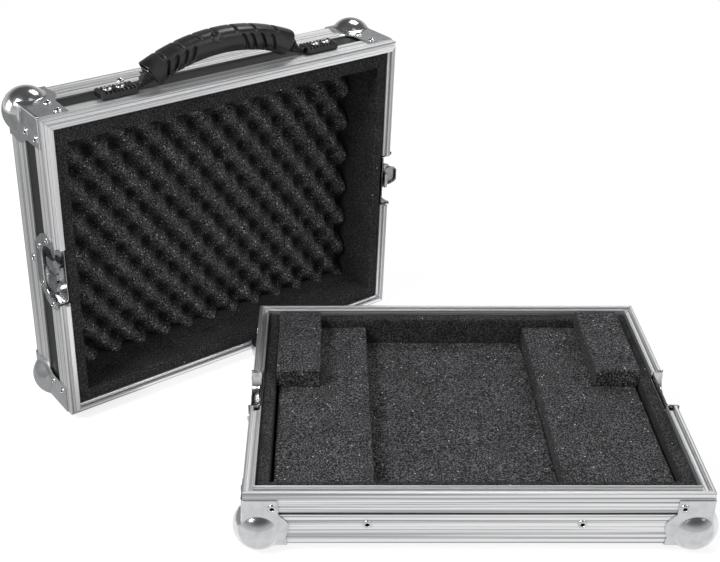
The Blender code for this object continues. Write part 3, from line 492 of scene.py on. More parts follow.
@dataclass(frozen=True)
class MouldedRubber:
    """Black thermoplastic rubber, injection moulded: dark satin with a fine spark finish.

    The spark marks of such a mould are about 0.1 mm wide. They are drawn 0.8 mm wide, so that
    the rubber looks matt at its lights, and handling leaves paler clouds on it.
    """

    colour: str = "#0F0F10"
    worn: str = "#242426"
    roughness: float = 0.33
    rougher: float = 0.12
    smoother: float = 0.08
    spark: float = 0.8 * MM
    spark_depth: float = 0.12 * MM
    cloud_span: float = 50 * MM / 3

    def make(self, name: str) -> bpy.types.Material:
        """Makes the material.

        Args:
            name: Name of the material.

        Returns:
            The material.
        """
        made, tree, shader = blank_material(name)
        place = add_node(tree, "ShaderNodeTexCoord").outputs["Object"]
        spark = add_node(tree, "ShaderNodeTexNoise", {
            "Vector": place, "Scale": 1 / self.spark, "Detail": 2.0})
        bump = add_node(tree, "ShaderNodeBump", {
            "Height": spark.outputs["Fac"], "Strength": 0.35, "Distance": self.spark_depth})
        tree.links.new(bump.outputs["Normal"], shader.inputs["Normal"])
        clouds = add_node(tree, "ShaderNodeTexNoise", {
            "Vector": place, "Scale": 1 / self.cloud_span, "Detail": 3.0}).outputs["Fac"]
        tone = add_node(tree, "ShaderNodeValToRGB", {"Fac": clouds}, [
            (0.35, self.colour), (0.75, self.worn)])
        tree.links.new(tone.outputs["Color"], shader.inputs["Base Color"])
        rough = add_node(tree, "ShaderNodeMapRange", {
            "Value": clouds, "To Min": self.roughness - self.smoother,
            "To Max": self.roughness + self.rougher})
        tree.links.new(rough.outputs[0], shader.inputs["Roughness"])
        return made


class Finish(Enum):
    """Finishes of the pieces made here, with the record's slot that each belongs to."""

    STEEL = "bright_plated_steel"
    FOAM = "black_foam"
    RUBBER = "black_rubber"


# Surfaces

@dataclass
class Skin:
    """Collects grids of points into one mesh, whose meeting points are welded."""

    points: list[np.ndarray] = field(default_factory=list)
    faces: list[list[int]] = field(default_factory=list)
    slots: list[int] = field(default_factory=list)
    count: int = 0
    weld: float = 1e-6
    sliver: float = 1e-7

    def grid(self, sheet: np.ndarray, wrap: bool = False, cap: str = "", slot: int = 0) -> "Skin":
        """Adds a grid of quads.

        Args:
            sheet: Points by row and column, shape (rows, columns, 3).
            wrap: Whether the last column joins the first.
            cap: Ends to close with one flat face: "first", "last" or "both".
            slot: Which of the skin's finishes it takes.

        Returns:
            The skin itself.
        """
        rows, columns = sheet.shape[:2]
        index = self.count + np.arange(rows * columns).reshape(rows, columns)
        right = np.roll(index, -1, axis=1) if wrap else index[:, 1:]
        left = index if wrap else index[:, :-1]
        quads = np.stack([left[:-1], right[:-1], right[1:], left[1:]], axis=-1)
        self.faces += quads.reshape(-1, 4).tolist()
        if cap in ("first", "both"):
            self.faces.append(index[0, ::-1].tolist())
        if cap in ("last", "both"):
            self.faces.append(index[-1].tolist())
        self.points.append(sheet.reshape(-1, 3))
        self.slots += [slot] * (len(self.faces) - len(self.slots))
        self.count += rows * columns
        return self

    def build(self, name: str, place: Matrix, finish: bpy.types.Material, angle: float = 40.0,
              second: bpy.types.Material | None = None) -> bpy.types.Object:
        """Makes the object, with its place in its mesh and its faces outward.

        Args:
            name: Name of the piece.
            place: Matrix from the grids' frame to the row frame.
            finish: Material.
            angle: Edges sharper than this many degrees stay sharp.
            second: Material of the grids in slot 1.

        Returns:
            The object, at the origin.
        """
        mesh = bpy.data.meshes.new(name)
        mesh.from_pydata(carried(np.concatenate(self.points), place).tolist(), [], self.faces)
        mesh.polygons.foreach_set("material_index", self.slots)
        form = bmesh.new()
        form.from_mesh(mesh)
        bmesh.ops.remove_doubles(form, verts=form.verts, dist=self.weld)
        bmesh.ops.dissolve_degenerate(form, edges=form.edges, dist=self.sliver)
        bmesh.ops.recalc_face_normals(form, faces=form.faces)
        form.to_mesh(mesh)
        form.free()
        mesh.shade_smooth()
        mesh.set_sharp_from_angle(angle=math.radians(angle))
        mesh.materials.append(finish)
        if second is not None:
            mesh.materials.append(second)
        piece = bpy.data.objects.new(name, mesh)
        bpy.context.scene.collection.objects.link(piece)
        return piece


def carried(points: np.ndarray, place: Matrix) -> np.ndarray:
    """Points carried by a matrix."""
    grid = np.array(place)
    return points @ grid[:3, :3].T + grid[:3, 3]


def soft_box(low: Sequence[float], high: Sequence[float], radius: float,
             pitch: float) -> list[np.ndarray]:
    """Six grids of a box with rounded edges.

    Each face point q of the plain box is moved to c + radius * (q - c) / |q - c|, where c is q
    held within the box shrunk by the radius, so flats stay flat and edges become round.

    Args:
        low: Lowest corner.
        high: Highest corner.
        radius: Radius of the edges.
        pitch: Spacing of the grid away from the edges.

    Returns:
        The six grids.
    """
    low, high = np.array(low, float), np.array(high, float)
    lines = []
    for k in range(3):
        count = max(2, int((high[k] - low[k]) / pitch))
        edge = radius * np.array([0.0, 0.25, 0.5, 0.75])
        middle = np.linspace(low[k] + radius, high[k] - radius, count)
        lines.append(np.concatenate([low[k] + edge, middle, high[k] - edge[::-1]]))
    sheets = []
    for axis in range(3):
        first, second = [k for k in range(3) if k != axis]
        a, b = np.meshgrid(lines[first], lines[second], indexing="ij")
        for level in (low[axis], high[axis]):
            sheet = np.zeros(a.shape + (3,))
            sheet[..., first], sheet[..., second], sheet[..., axis] = a, b, level
            core = np.clip(sheet, low + radius, high - radius)
            away = sheet - core
            reach = np.linalg.norm(away, axis=-1, keepdims=True)
            sheets.append(core + away * radius / np.maximum(reach, 1e-12))
    return sheets


def ripple(points: np.ndarray, size: float, height: float, seed: int) -> np.ndarray:
    """Slow uneven lift: a sum of six sine waves in drawn directions, mostly within a height.

    Args:
        points: Points, along the last axis.
        size: Typical length of a wave.
        height: Height that most of it keeps within.
        seed: Seed of the draws.

    Returns:
        Lift of each point.
    """
    chance = np.random.default_rng(seed)
    total = np.zeros(points.shape[:-1])
    waves = 6
    for _ in range(waves):
        direction = chance.normal(size=3)
        direction *= math.tau / (size * chance.uniform(0.6, 1.6)) / np.linalg.norm(direction)
        total += np.sin(points @ direction + chance.uniform(0, math.tau))
    return height * total / (waves / 2)


def smooth_step(value: np.ndarray, start: float, end: float) -> np.ndarray:
    """Zero before start, one after end, and a smooth cubic between."""
    share = np.clip((value - start) / (end - start), 0.0, 1.0)
    return share * share * (3 - 2 * share)


def turned(profile: np.ndarray, segments: int) -> np.ndarray:
    """Profile carried round the z axis.

    Args:
        profile: Rows of radius and height.
        segments: Points to a turn.

    Returns:
        Grid of points, a ring to a row.
    """
    angle = math.tau * np.arange(segments) / segments
    radius, height = profile[:, 0, None], profile[:, 1, None]
    return np.stack([radius * np.cos(angle), radius * np.sin(angle),
                     np.broadcast_to(height, (len(profile), segments))], axis=-1)


def resampled(outline: np.ndarray, count: int) -> np.ndarray:
    """Open line resampled to evenly spaced points.

    Args:
        outline: Points of the line.
        count: How many points it gets.

    Returns:
        The new points.
    """
    step = np.linalg.norm(np.diff(outline, axis=0), axis=1)
    length = np.concatenate([[0], np.cumsum(step)])
    at = np.linspace(0, length[-1], count)
    return np.stack([np.interp(at, length, outline[:, k]) for k in range(outline.shape[1])], axis=1)


def eased(line: np.ndarray, passes: int) -> np.ndarray:
    """Open line with its corners eased: each pass averages every inner point with its two sides.

    Args:
        line: Points of the line, or its values.
        passes: How many times.

    Returns:
        The eased line, with the same ends.
    """
    for _ in range(passes):
        line = np.concatenate([line[:1], (line[:-2] + 2 * line[1:-1] + line[2:]) / 4, line[-1:]])
    return line


def traced(knots: Sequence[tuple[float, float]], at: np.ndarray, passes: int) -> np.ndarray:
    """Eased line through knots.

    Args:
        knots: Pairs of place and value.
        at: Places of the line's points.
        passes: How many times its corners are eased.

    Returns:
        Value at each place.
    """
    places, values = np.array(knots).T
    return eased(np.interp(at, places, values), passes)


def smooth_max(first: np.ndarray, second: np.ndarray, width: float) -> np.ndarray:
    """Larger of two values, with a fillet of a width where they are nearly equal."""
    near = np.maximum(width - np.abs(first - second), 0.0) / width
    return np.maximum(first, second) + near * near * width / 4


def settle(piece: bpy.types.Object, body: str, nodes: Iterable[str] = ()) -> None:
    """Hangs a piece on its body, in place of its solids.

    Args:
        piece: The finished piece.
        body: Body that it moves with.
        nodes: Solids that it stands for.
    """
    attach(piece, body)
    if nodes:
        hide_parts(*nodes)
    LOG.info("%s on %s: %d faces", piece.name, body, len(piece.data.polygons))


def dress(nodes: dict[str, bpy.types.Object], name: str, finish: bpy.types.Material) -> None:
    """Gives its finish to a solid that keeps its shape.

    Args:
        nodes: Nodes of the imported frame, by name.
        name: Which of them.
        finish: Its material.
    """
    for slot in nodes[name].material_slots:
        slot.material = finish
    LOG.info("%s keeps its solid", name)


# Sub-assemblies

@dataclass
class Materials:
    """Every material of the case, made once."""

    layout: CaseLayout
    # Lowest and highest z of the pad's painted shade and light.
    pad_shade_heights: tuple[float, float] = (17 * MM, 30 * MM)
    steel: bpy.types.Material = field(init=False)
    shade_darkened_steel: bpy.types.Material = field(init=False)
    shade_darkened_dish_steel: bpy.types.Material = field(init=False)
    board: bpy.types.Material = field(init=False)
    foam: bpy.types.Material = field(init=False)
    lining: bpy.types.Material = field(init=False)
    pad: bpy.types.Material = field(init=False)
    rubber: bpy.types.Material = field(init=False)
    plastic: bpy.types.Material = field(init=False)
    bore: bpy.types.Material = field(init=False)
    bars: dict[tuple[str, bool], bpy.types.Material] = field(init=False)

    def __post_init__(self) -> None:
        """Makes the materials."""
        self.steel = PlatedSteel().make("bright zinc plated steel")
        # Latch parts and strikers: plated steel painted far darker than the plain steel, as painted
        # shade in the latch pockets.
        self.shade_darkened_steel = PlatedSteel(colour="#A4A6A8", dull="#727476", roughness=0.22).make(
            "zinc plated steel of moving latch parts")
        # Pressed dishes: plated steel painted somewhat darker than the plain steel, as painted shade
        # in the pockets.
        self.shade_darkened_dish_steel = PlatedSteel(colour="#C2C4C6", dull="#9C9EA0", roughness=0.15).make(
            "zinc plated steel, deep drawn")
        self.board = PhenolicBoard().make("black phenolic faced plywood")
        self.foam = OpenCellFoam().make("charcoal saw-cut foam")
        # The lining: calmer cells, and a darker copy of the foam as painted shade on the upright
        # lining walls; few painted glints.
        self.lining = OpenCellFoam(pit_shade="#1B1B1C", web="#363637", glint="#4E4E50",
                                   painted_glint_share=0.002).make("charcoal lining foam, skinned")
        # The pad: lighter webs and highlights than the bed's foam as painted light on its lit sides,
        # many painted glints, and painted shade deep in its hollows.
        self.pad = OpenCellFoam(pit_shade="#141415", web="#4C4C4E", glint="#7C7C7E", painted_glint_share=0.13).make(
            "charcoal convoluted foam", self.layout.lid_frame(), self.pad_shade_heights)
        self.bore = PlatedSteel(colour="#0A0A0B", dull="#050506", roughness=0.6).make(
            "shadowed steel inside a rivet")
        self.rubber = MouldedRubber().make("black moulded rubber")
        self.plastic = MouldedRubber(colour="#101011", worn="#1E1E20", roughness=0.24).make(
            "black moulded nylon")
        self.bars = {}
        quarter = Matrix.Rotation(math.pi / 2, 4, "Z")
        for half, frame in (("base", self.layout.base_frame()), ("lid", self.layout.lid_frame())):
            for crosswise in (False, True):
                lines = frame @ quarter if crosswise else frame
                way = "depth" if crosswise else "width"
                self.bars[half, crosswise] = DrawnAluminium().make(
                    f"anodised aluminium, drawn along the {half}'s {way}", lines)


@dataclass
class Fixings:
    """Rivets or screws of one body, gathered into one piece.

    A head is a profile turned about its axis, round a bore painted near black as painted shadow. The
    profiles are pairs of radius and height, from the rim to the bore.
    """

    name: str
    skin: Skin = field(default_factory=Skin)
    segments: int = 20
    bore_share: float = 0.92
    bore_floor: float = 0.1 * MM

    RIVET = np.array([(3.6, 0.0), (3.55, 0.3), (3.25, 0.75), (2.7, 1.1), (2.1, 1.25), (1.7, 1.2),
                      (1.5, 0.95)]) * MM
    SCREW = np.array([(3.6, 0.0), (3.55, 0.5), (3.1, 1.1), (2.2, 1.5), (1.3, 1.6), (1.1, 1.4)]) * MM

    def add(self, place: Matrix, profile: np.ndarray, size: float = 1.0) -> None:
        """Adds one head.

        Args:
            place: Wall frame, moved to the head's seat.
            profile: Radius and height pairs, from the rim to the middle.
            size: Scale of the head.
        """
        outward = place @ Matrix.Rotation(math.pi / 2, 4, "X")
        radius, rim = profile[-1] * size
        bore = np.array([(radius, rim), (self.bore_share * radius, self.bore_floor),
                         (0.0, self.bore_floor)])
        self.skin.grid(carried(turned(profile * size, self.segments), outward), wrap=True)
        # The bore takes the second finish: near-black steel, painted shadow inside the head.
        self.skin.grid(carried(turned(bore, self.segments), outward), wrap=True, slot=1)

    def finish(self, body: str, materials: Materials) -> None:
        """Makes the piece and hangs it on its body."""
        piece = self.skin.build(self.name, Matrix.Identity(4), materials.steel, 35, materials.bore)
        settle(piece, body)


@dataclass
class BallCorner:
    """Pressed ball corner: three plates drawn over a ball that stands out of all three faces.

    The casting is star-shaped about the ball's centre. A point of it is the centre plus a reach
    along each direction, and the reach is the larger of the ball's radius and the distance to
    the plates, with a narrow fillet where the two meet.
    """

    layout: CaseLayout
    height: float
    shoulder: float
    plate_face: float = -1.3 * MM
    plate_back: float = -0.3 * MM
    foot: float = 38.3 * MM
    waist: float = 36.4 * MM
    lobe: float = 39.0 * MM
    neck: float = 30.1 * MM
    top_gap: float = 7.8 * MM
    fold_round: float = 2.6 * MM
    ball_fillet: float = 1.5 * MM
    ball_skin: float = 0.4 * MM
    edge_round: float = 0.5 * MM
    rows: int = 96
    columns: int = 72
    upright_passes: int = 6
    flat_passes: int = 3

    def reach_out(self, away: np.ndarray) -> np.ndarray:
        """Distance from the ball's centre to the casting.

        Args:
            away: Unit directions from the centre.

        Returns:
            Distance along each direction.
        """
        wall = self.layout.ball_inset - self.plate_face
        toward = -away
        fold = self.fold_round / wall
        largest = toward.max(axis=-1)
        facing = toward / largest[..., None]
        across = smooth_max(smooth_max(facing[..., 0], facing[..., 1], fold), facing[..., 2], fold)
        plates = wall / (across * largest)
        ball = np.full(plates.shape, self.layout.ball_radius - self.ball_skin)
        return smooth_max(ball, plates, self.ball_fillet)

    def outline(self) -> np.ndarray:
        """Reach of the upright plate along its wall: a lobed foot and a narrow neck.

        Its knots are pairs of height and reach.

        Returns:
            Reach at each row of the grid, from the outer face up.
        """
        lobe_end = self.layout.ball_inset + self.layout.ball_radius / 2
        top = self.height - self.top_gap
        knots = [
            (self.plate_face, self.foot), (3 * MM, self.foot - 0.9 * MM), (8 * MM, self.waist),
            (12 * MM, self.waist + 1.2 * MM), (16 * MM, self.lobe), (21 * MM, self.lobe),
            (lobe_end, self.lobe - 0.6 * MM),
            ((lobe_end + self.shoulder) / 2, (self.lobe + self.neck) / 2),
            (self.shoulder, self.neck + 0.5 * MM), (top, self.neck)]
        return traced(knots, np.linspace(self.plate_face, top, self.rows), self.upright_passes)

    def plate(self, upright: bool) -> np.ndarray:
        """One face of the casting as a grid, in the frame where y points into the case.

        A flat sheet is laid out first, as wide at each row as the plate's outline, and then each
        of its points is carried along its direction from the ball's centre. The flat plate's
        knots are pairs of share of the way from its corner, and reach.

        Args:
            upright: Whether it is a wall's plate, or else the plate on the outer face.

        Returns:
            Grid of points.
        """
        start = self.plate_face
        share = np.linspace(0, 1, self.columns)
        if upright:
            rise = np.linspace(0, 1, self.rows)
            wide = self.outline() - start
            tall = np.full(self.columns, self.height - self.top_gap - start)
        else:
            rise = share
            knots = [(0, self.foot), (0.28, self.waist), (0.52, self.lobe),
                     (0.774, self.lobe - 0.6 * MM), (0.946, self.neck + 3.5 * MM),
                     (1, self.neck + 1.8 * MM)]
            wide = traced(knots, share, self.flat_passes) - start
            tall = wide
        x = start + share[None, :] * wide[:, None]
        z = start + rise[:, None] * tall[None, :]
        flat = np.stack([x, np.full(x.shape, start), z], axis=-1)
        centre = np.array([self.layout.ball_inset] * 3)
        away = flat - centre
        away /= np.linalg.norm(away, axis=-1, keepdims=True)
        sheet = centre + away * self.reach_out(away)[..., None]
        return self.edged(sheet)

    def edged(self, sheet: np.ndarray) -> np.ndarray:
        """Rolls a grid's two free edges round to the back of the plate.

        Args:
            sheet: Grid of the plate's outer face.

        Returns:
            The grid with a quarter turn and a back edge on its last row and column.
        """
        drop = self.edge_round
        for axis in (1, 0):
            last = np.take(sheet, [-1], axis=axis)
            before = np.take(sheet, [-3], axis=axis)
            out = last - before
            out /= np.maximum(np.linalg.norm(out, axis=-1, keepdims=True), 1e-9)
            bands = [sheet]
            for turn in (math.pi / 6, math.pi / 3, math.pi / 2):
                bands.append(last + out * drop * (math.sin(turn) - 1)
                             + np.array([0, drop * (1 - math.cos(turn)), 0]))
            tail = bands[-1].copy()
            tail[..., 1] = self.plate_back
            trimmed = np.delete(sheet, -1, axis=axis)
            edge = last - out * drop
            sheet = np.concatenate([trimmed, edge] + bands[1:] + [tail], axis=axis)
        return sheet

    def build(self, name: str, place: Matrix, steel: bpy.types.Material) -> bpy.types.Object:
        """Makes the casting.

        Args:
            name: Name of the piece.
            place: Matrix from the corner frame to the row frame.
            steel: Its finish.

        Returns:
            The piece.
        """
        skin = Skin()
        swap = np.array([[0, 1, 0], [1, 0, 0], [0, 0, 1]], float)
        lay = np.array([[1, 0, 0], [0, 0, 1], [0, 1, 0]], float)
        for turn, upright in ((np.eye(3), True), (swap, True), (lay, False)):
            skin.grid(self.plate(upright) @ turn.T)
        return skin.build(name, place, steel, 24)


@dataclass
class ShellHalf:
    """Shell of one half: boards, edge angles, closing profiles, ball corners and their rivets.

    A corner plate's rivets are placed by their distances along the wall and from the opening,
    an edge angle's by wall, place along it and height.
    """

    layout: CaseLayout
    materials: Materials
    nodes: dict[str, bpy.types.Object]
    frame: Matrix
    height: float
    half: str = ""
    board_name: str = ""
    shoulder: float = 0.0
    plate_rivets: Sequence[tuple[float, float]] = ()
    edge_rivets: Sequence[tuple[Side, float, float]] = ()
    rivet_size: float = 1.18

    def dress_solids(self) -> None:
        """Finishes the boards and the drawn profiles, which keep their solids."""
        dress(self.nodes, f"{self.half}_{self.board_name}", self.materials.board)
        for side in Side:
            name = side.name.lower()
            metal = self.materials.bars[self.half, side in (Side.LEFT, Side.RIGHT)]
            dress(self.nodes, f"{self.half}_wall_{name}", self.materials.board)
            dress(self.nodes, f"{self.half}_edge_{name}", metal)
            dress(self.nodes, f"{self.half}_rim_{name}", metal)

    def build_corners(self) -> None:
        """Makes the four ball corners."""
        casting = BallCorner(self.layout, self.height, self.shoulder)
        for corner in Corner:
            name = f"{self.half}_corner_{corner.name.lower()}"
            piece = casting.build(f"{name}_casting", self.frame @ self.layout.corner(corner),
                                  self.materials.steel)
            settle(piece, self.half, [name])

    def build_rivets(self) -> None:
        """Sets the rivets of the corner plates and of the edge angles."""
        rivets = Fixings(f"{self.half}_rivets")
        swap = Matrix(((0, 1, 0, 0), (1, 0, 0, 0), (0, 0, 1, 0), (0, 0, 0, 1)))
        for corner in Corner:
            place = self.frame @ self.layout.corner(corner)
            for along, depth in self.plate_rivets:
                seat = Matrix.Translation((along, BallCorner.plate_face, self.height - depth))
                rivets.add(place @ seat, Fixings.RIVET, self.rivet_size)
                rivets.add(place @ swap @ seat, Fixings.RIVET, self.rivet_size)
        for side, along, height in self.edge_rivets:
            seat = self.layout.wall(side) @ Matrix.Translation((along, 0, height))
            rivets.add(self.frame @ seat, Fixings.RIVET, self.rivet_size)
        rivets.finish(self.half, self.materials)

    def build(self) -> None:
        """Makes and dresses the whole shell."""
        self.dress_solids()
        self.build_corners()
        self.build_rivets()


@dataclass
class BaseShell(ShellHalf):
    """Shell of the tray base, with two rivets in its front edge angle."""

    half: str = "base"
    board_name: str = "floor_panel"
    shoulder: float = 32.3 * MM
    plate_rivets: Sequence[tuple[float, float]] = ((25.3 * MM, 15.9 * MM),)
    edge_rivets: Sequence[tuple[Side, float, float]] = (
        (Side.FRONT, -93.7 * MM, 22 * MM), (Side.FRONT, 90 * MM, 22 * MM))


@dataclass
class LidShell(ShellHalf):
    """Shell of the lid, deeper than the base, with two rivets in each upright corner plate."""

    half: str = "lid"
    board_name: str = "panel"
    shoulder: float = 38.5 * MM
    plate_rivets: Sequence[tuple[float, float]] = ((22.0 * MM, 14.0 * MM), (22.0 * MM, 35.5 * MM))
    edge_rivets: Sequence[tuple[Side, float, float]] = (
        (Side.LEFT, 1.1 * MM, 21.8 * MM), (Side.BACK, 95 * MM, 21.8 * MM))


@dataclass
class FoamWork:
    """Foam cut in blocks and strips for one half."""

    layout: CaseLayout
    materials: Materials
    frame: Matrix
    body: str
    floor: float = 8.9 * MM
    lining_out: float = 10.6 * MM
    seat: float = 0.3 * MM
    edge: float = 1.6 * MM
    pitch: float = 3.0 * MM
    unevenness: float = 0.35 * MM
    wave: float = 45 * MM
    ring_wave: float = 60 * MM
    strip: float = 12 * MM
    firmness: float = 0.9

    def inside(self) -> tuple[float, float]:
        """Half width and half depth between the walls, where the lining stands."""
        return self.layout.width / 2 - self.lining_out, self.layout.depth / 2 - self.lining_out

    def block(self, name: str, node: str, low: Sequence[float], high: Sequence[float]) -> None:
        """Sawn block with soft edges and a faintly uneven face.

        Args:
            name: Name of the piece.
            node: Solid that it stands for.
            low: Lowest corner in the half's frame.
            high: Highest corner.
        """
        skin = Skin()
        upper = low[2] + 0.6 * (high[2] - low[2])
        for sheet in soft_box(low, high, self.edge, self.pitch):
            lift = ripple(sheet, self.wave, self.unevenness, len(name))
            sheet[..., 2] += np.where(sheet[..., 2] > upper, lift, 0)
            skin.grid(sheet)
        piece = skin.build(name, self.frame, self.materials.foam, 50)
        settle(piece, self.body, [node])

    def strip_profile(self, low: float, high: float) -> np.ndarray:
        """Profile of a lining strip: up its outer face, over the soft top and down inside.

        Args:
            low: Height of its foot.
            high: Height of its top.

        Returns:
            Pairs of distance from the outer face, and height.
        """
        soft, thick = self.edge, self.strip
        turn = np.linspace(0, math.pi / 2, 4)[1:]
        up = [(0, z) for z in np.linspace(low, high - soft, 5)]
        over = [(soft * (1 - math.cos(t)), high - soft * (1 - math.sin(t))) for t in turn]
        flat = [(x, high) for x in np.linspace(soft, thick - soft, 5)[1:]]
        down = [(thick - soft * (1 - math.sin(t)), high - soft * (1 - math.cos(t))) for t in turn]
        inside = [(thick, z) for z in np.linspace(high - soft, low, 10)[1:]]
        return np.array(up + over + flat + down + inside)

    def ring(self, name: str, node: str, outer: tuple[float, float], inner: Sequence[float],
             low: float, high: float) -> None:
        """Lining round the inside of a half, its top edges soft.

        A point of the strip's profile lies between the outer and the inner rectangle by its
        share of the strip's plain thickness, so each side gets its own thickness.

        Args:
            name: Name of the piece.
            node: Solid that it stands for.
            outer: Half width and half depth of the outer rectangle.
            inner: Lowest x, highest x, lowest y and highest y of the inner rectangle.
            low: Height of its foot.
            high: Height of its top.
        """
        profile = self.strip_profile(low, high)
        side = np.linspace(0, 1, 90)[:-1, None]
        rings = []
        for rect in ((-outer[0], outer[0], -outer[1], outer[1]), inner):
            x0, x1, y0, y1 = rect
            spots = np.array([(x0, y0), (x1, y0), (x1, y1), (x0, y1)])
            rings.append(np.concatenate([a + side * (b - a) for a, b in
                                         zip(spots, np.roll(spots, -1, axis=0))]))
        share = (profile[:, 0] / self.strip)[:, None, None]
        level = rings[0][None] * (1 - share) + rings[1][None] * share
        height = np.broadcast_to(profile[:, 1, None, None], level.shape[:2] + (1,))
        sheet = np.concatenate([level, height], axis=-1)
        lift = ripple(sheet, self.ring_wave, self.unevenness, 5)
        sheet[..., 2] += np.where(sheet[..., 2] > high - 2 * self.edge, lift, 0)
        skin = Skin().grid(sheet, wrap=True)
        piece = skin.build(name, self.frame, self.materials.lining, 45)
        settle(piece, self.body, [node])


@dataclass
class BaseBed(FoamWork):
    """Foam of the base: lining, floor, the two shelves and the block on each."""

    lining: float = 11.9 * MM
    lining_drop: float = 5.0 * MM
    floor_foam: float = 13.5 * MM
    shelf_rise: float = 19.0 * MM
    left_edge: float = -86.5 * MM
    right_edge: float = 79.5 * MM
    block_rise: float = 19.3 * MM
    block_width: float = 43.2 * MM
    block_length: float = 114.4 * MM
    gap: float = 2.5 * MM

    def build(self) -> None:
        """Makes the foam of the base."""
        half_x, half_y = self.inside()
        inner_x, inner_y = half_x - self.lining, half_y - self.lining
        self.ring("base_lining_foam", "base_lining", (half_x, half_y),
                  (-inner_x, inner_x, -inner_y, inner_y), self.floor,
                  self.layout.base_height - self.lining_drop)
        deep = inner_y - self.seat
        self.block("base_recess_floor", "base_floor_foam",
                   (self.left_edge + self.seat, -deep, self.floor),
                   (self.right_edge - self.seat, deep, self.floor + self.floor_foam))
        shelf = self.floor + self.floor_foam + self.seat + self.shelf_rise
        spans = {"left": (-inner_x + self.gap, self.left_edge),
                 "right": (self.right_edge, inner_x - self.gap)}
        for side, (start, end) in spans.items():
            self.block(f"base_shelf_{side}", f"base_platform_{side}", (start, -deep, self.floor),
                       (end, deep, shelf))
            sign = -1 if side == "left" else 1
            outer = sign * (inner_x - self.seat)
            near = outer - sign * self.block_width
            self.block(f"base_end_block_{side}", f"base_block_{side}",
                       (min(outer, near), deep - self.block_length, shelf + self.seat),
                       (max(outer, near), deep, shelf + self.seat + self.block_rise))


@dataclass
class LidBed(FoamWork):
    """Foam of the lid: the lining and the convoluted pad, cut in rows of offset peaks."""

    lining_side: float = 11.0 * MM
    lining_top: float = 15.5 * MM
    lining_foot: float = 13.0 * MM
    lining_drop: float = 1.5 * MM
    right_gap: float = 5.5 * MM
    back: float = 9.0 * MM
    relief: float = 13.0 * MM
    pitch_x: float = 29.3 * MM
    pitch_y: float = 39.4 * MM
    rising_phase: float = 0.68
    falling_phase: float = 0.63
    skew: float = 0.72
    step: float = 1.3 * MM
    pad_wave: float = 14 * MM

    def build(self) -> None:
        """Makes the foam of the lid."""
        half_x, half_y = self.inside()
        inner = (-half_x + self.lining_side, half_x - self.lining_side,
                 -half_y + self.lining_foot, half_y - self.lining_top)
        self.ring("lid_lining_foam", "lid_lining", (half_x, half_y), inner, self.floor,
                  self.layout.lid_height - self.lining_drop)
        self.pad((inner[0] + self.seat, inner[1] + self.seat - self.right_gap),
                 (inner[2] + self.seat, inner[3] - self.seat))

    def relief_at(self, x: np.ndarray, y: np.ndarray) -> np.ndarray:
        """Height of the pad over its foot: a back and two crossing cosine waves, one stronger.

        Args:
            x: Places across the lid.
            y: Places along its depth.

        Returns:
            Height at each place.
        """
        across, along = x / self.pitch_x, y / self.pitch_y
        wave = (self.skew * np.cos(math.tau * (across + along + self.rising_phase))
                + (1 - self.skew) * np.cos(math.tau * (across - along + self.falling_phase)))
        return self.back + self.relief * (0.5 + 0.5 * wave)

    def pad(self, x_span: tuple[float, float], y_span: tuple[float, float]) -> None:
        """Makes the pad, with its sawn sides.

        Args:
            x_span: Its ends across the lid.
            y_span: Its ends along the lid's depth.
        """
        columns = int((x_span[1] - x_span[0]) / self.step)
        rows = int((y_span[1] - y_span[0]) / self.step)
        x, y = np.meshgrid(np.linspace(*x_span, columns), np.linspace(*y_span, rows))
        sheet = np.stack([x, y, self.floor + self.relief_at(x, y)], axis=-1)
        sheet[..., 2] += ripple(sheet * (1, 1, 0), self.pad_wave, self.unevenness, 3)
        sheet = np.pad(sheet, ((1, 1), (1, 1), (0, 0)), mode="edge")
        sheet[[0, -1], :, 2] = self.floor
        sheet[:, [0, -1], 2] = self.floor
        piece = Skin().grid(sheet).build("lid_convoluted_pad", self.frame, self.materials.pad, 60)
        settle(piece, self.body, ["lid_egg_pad"])


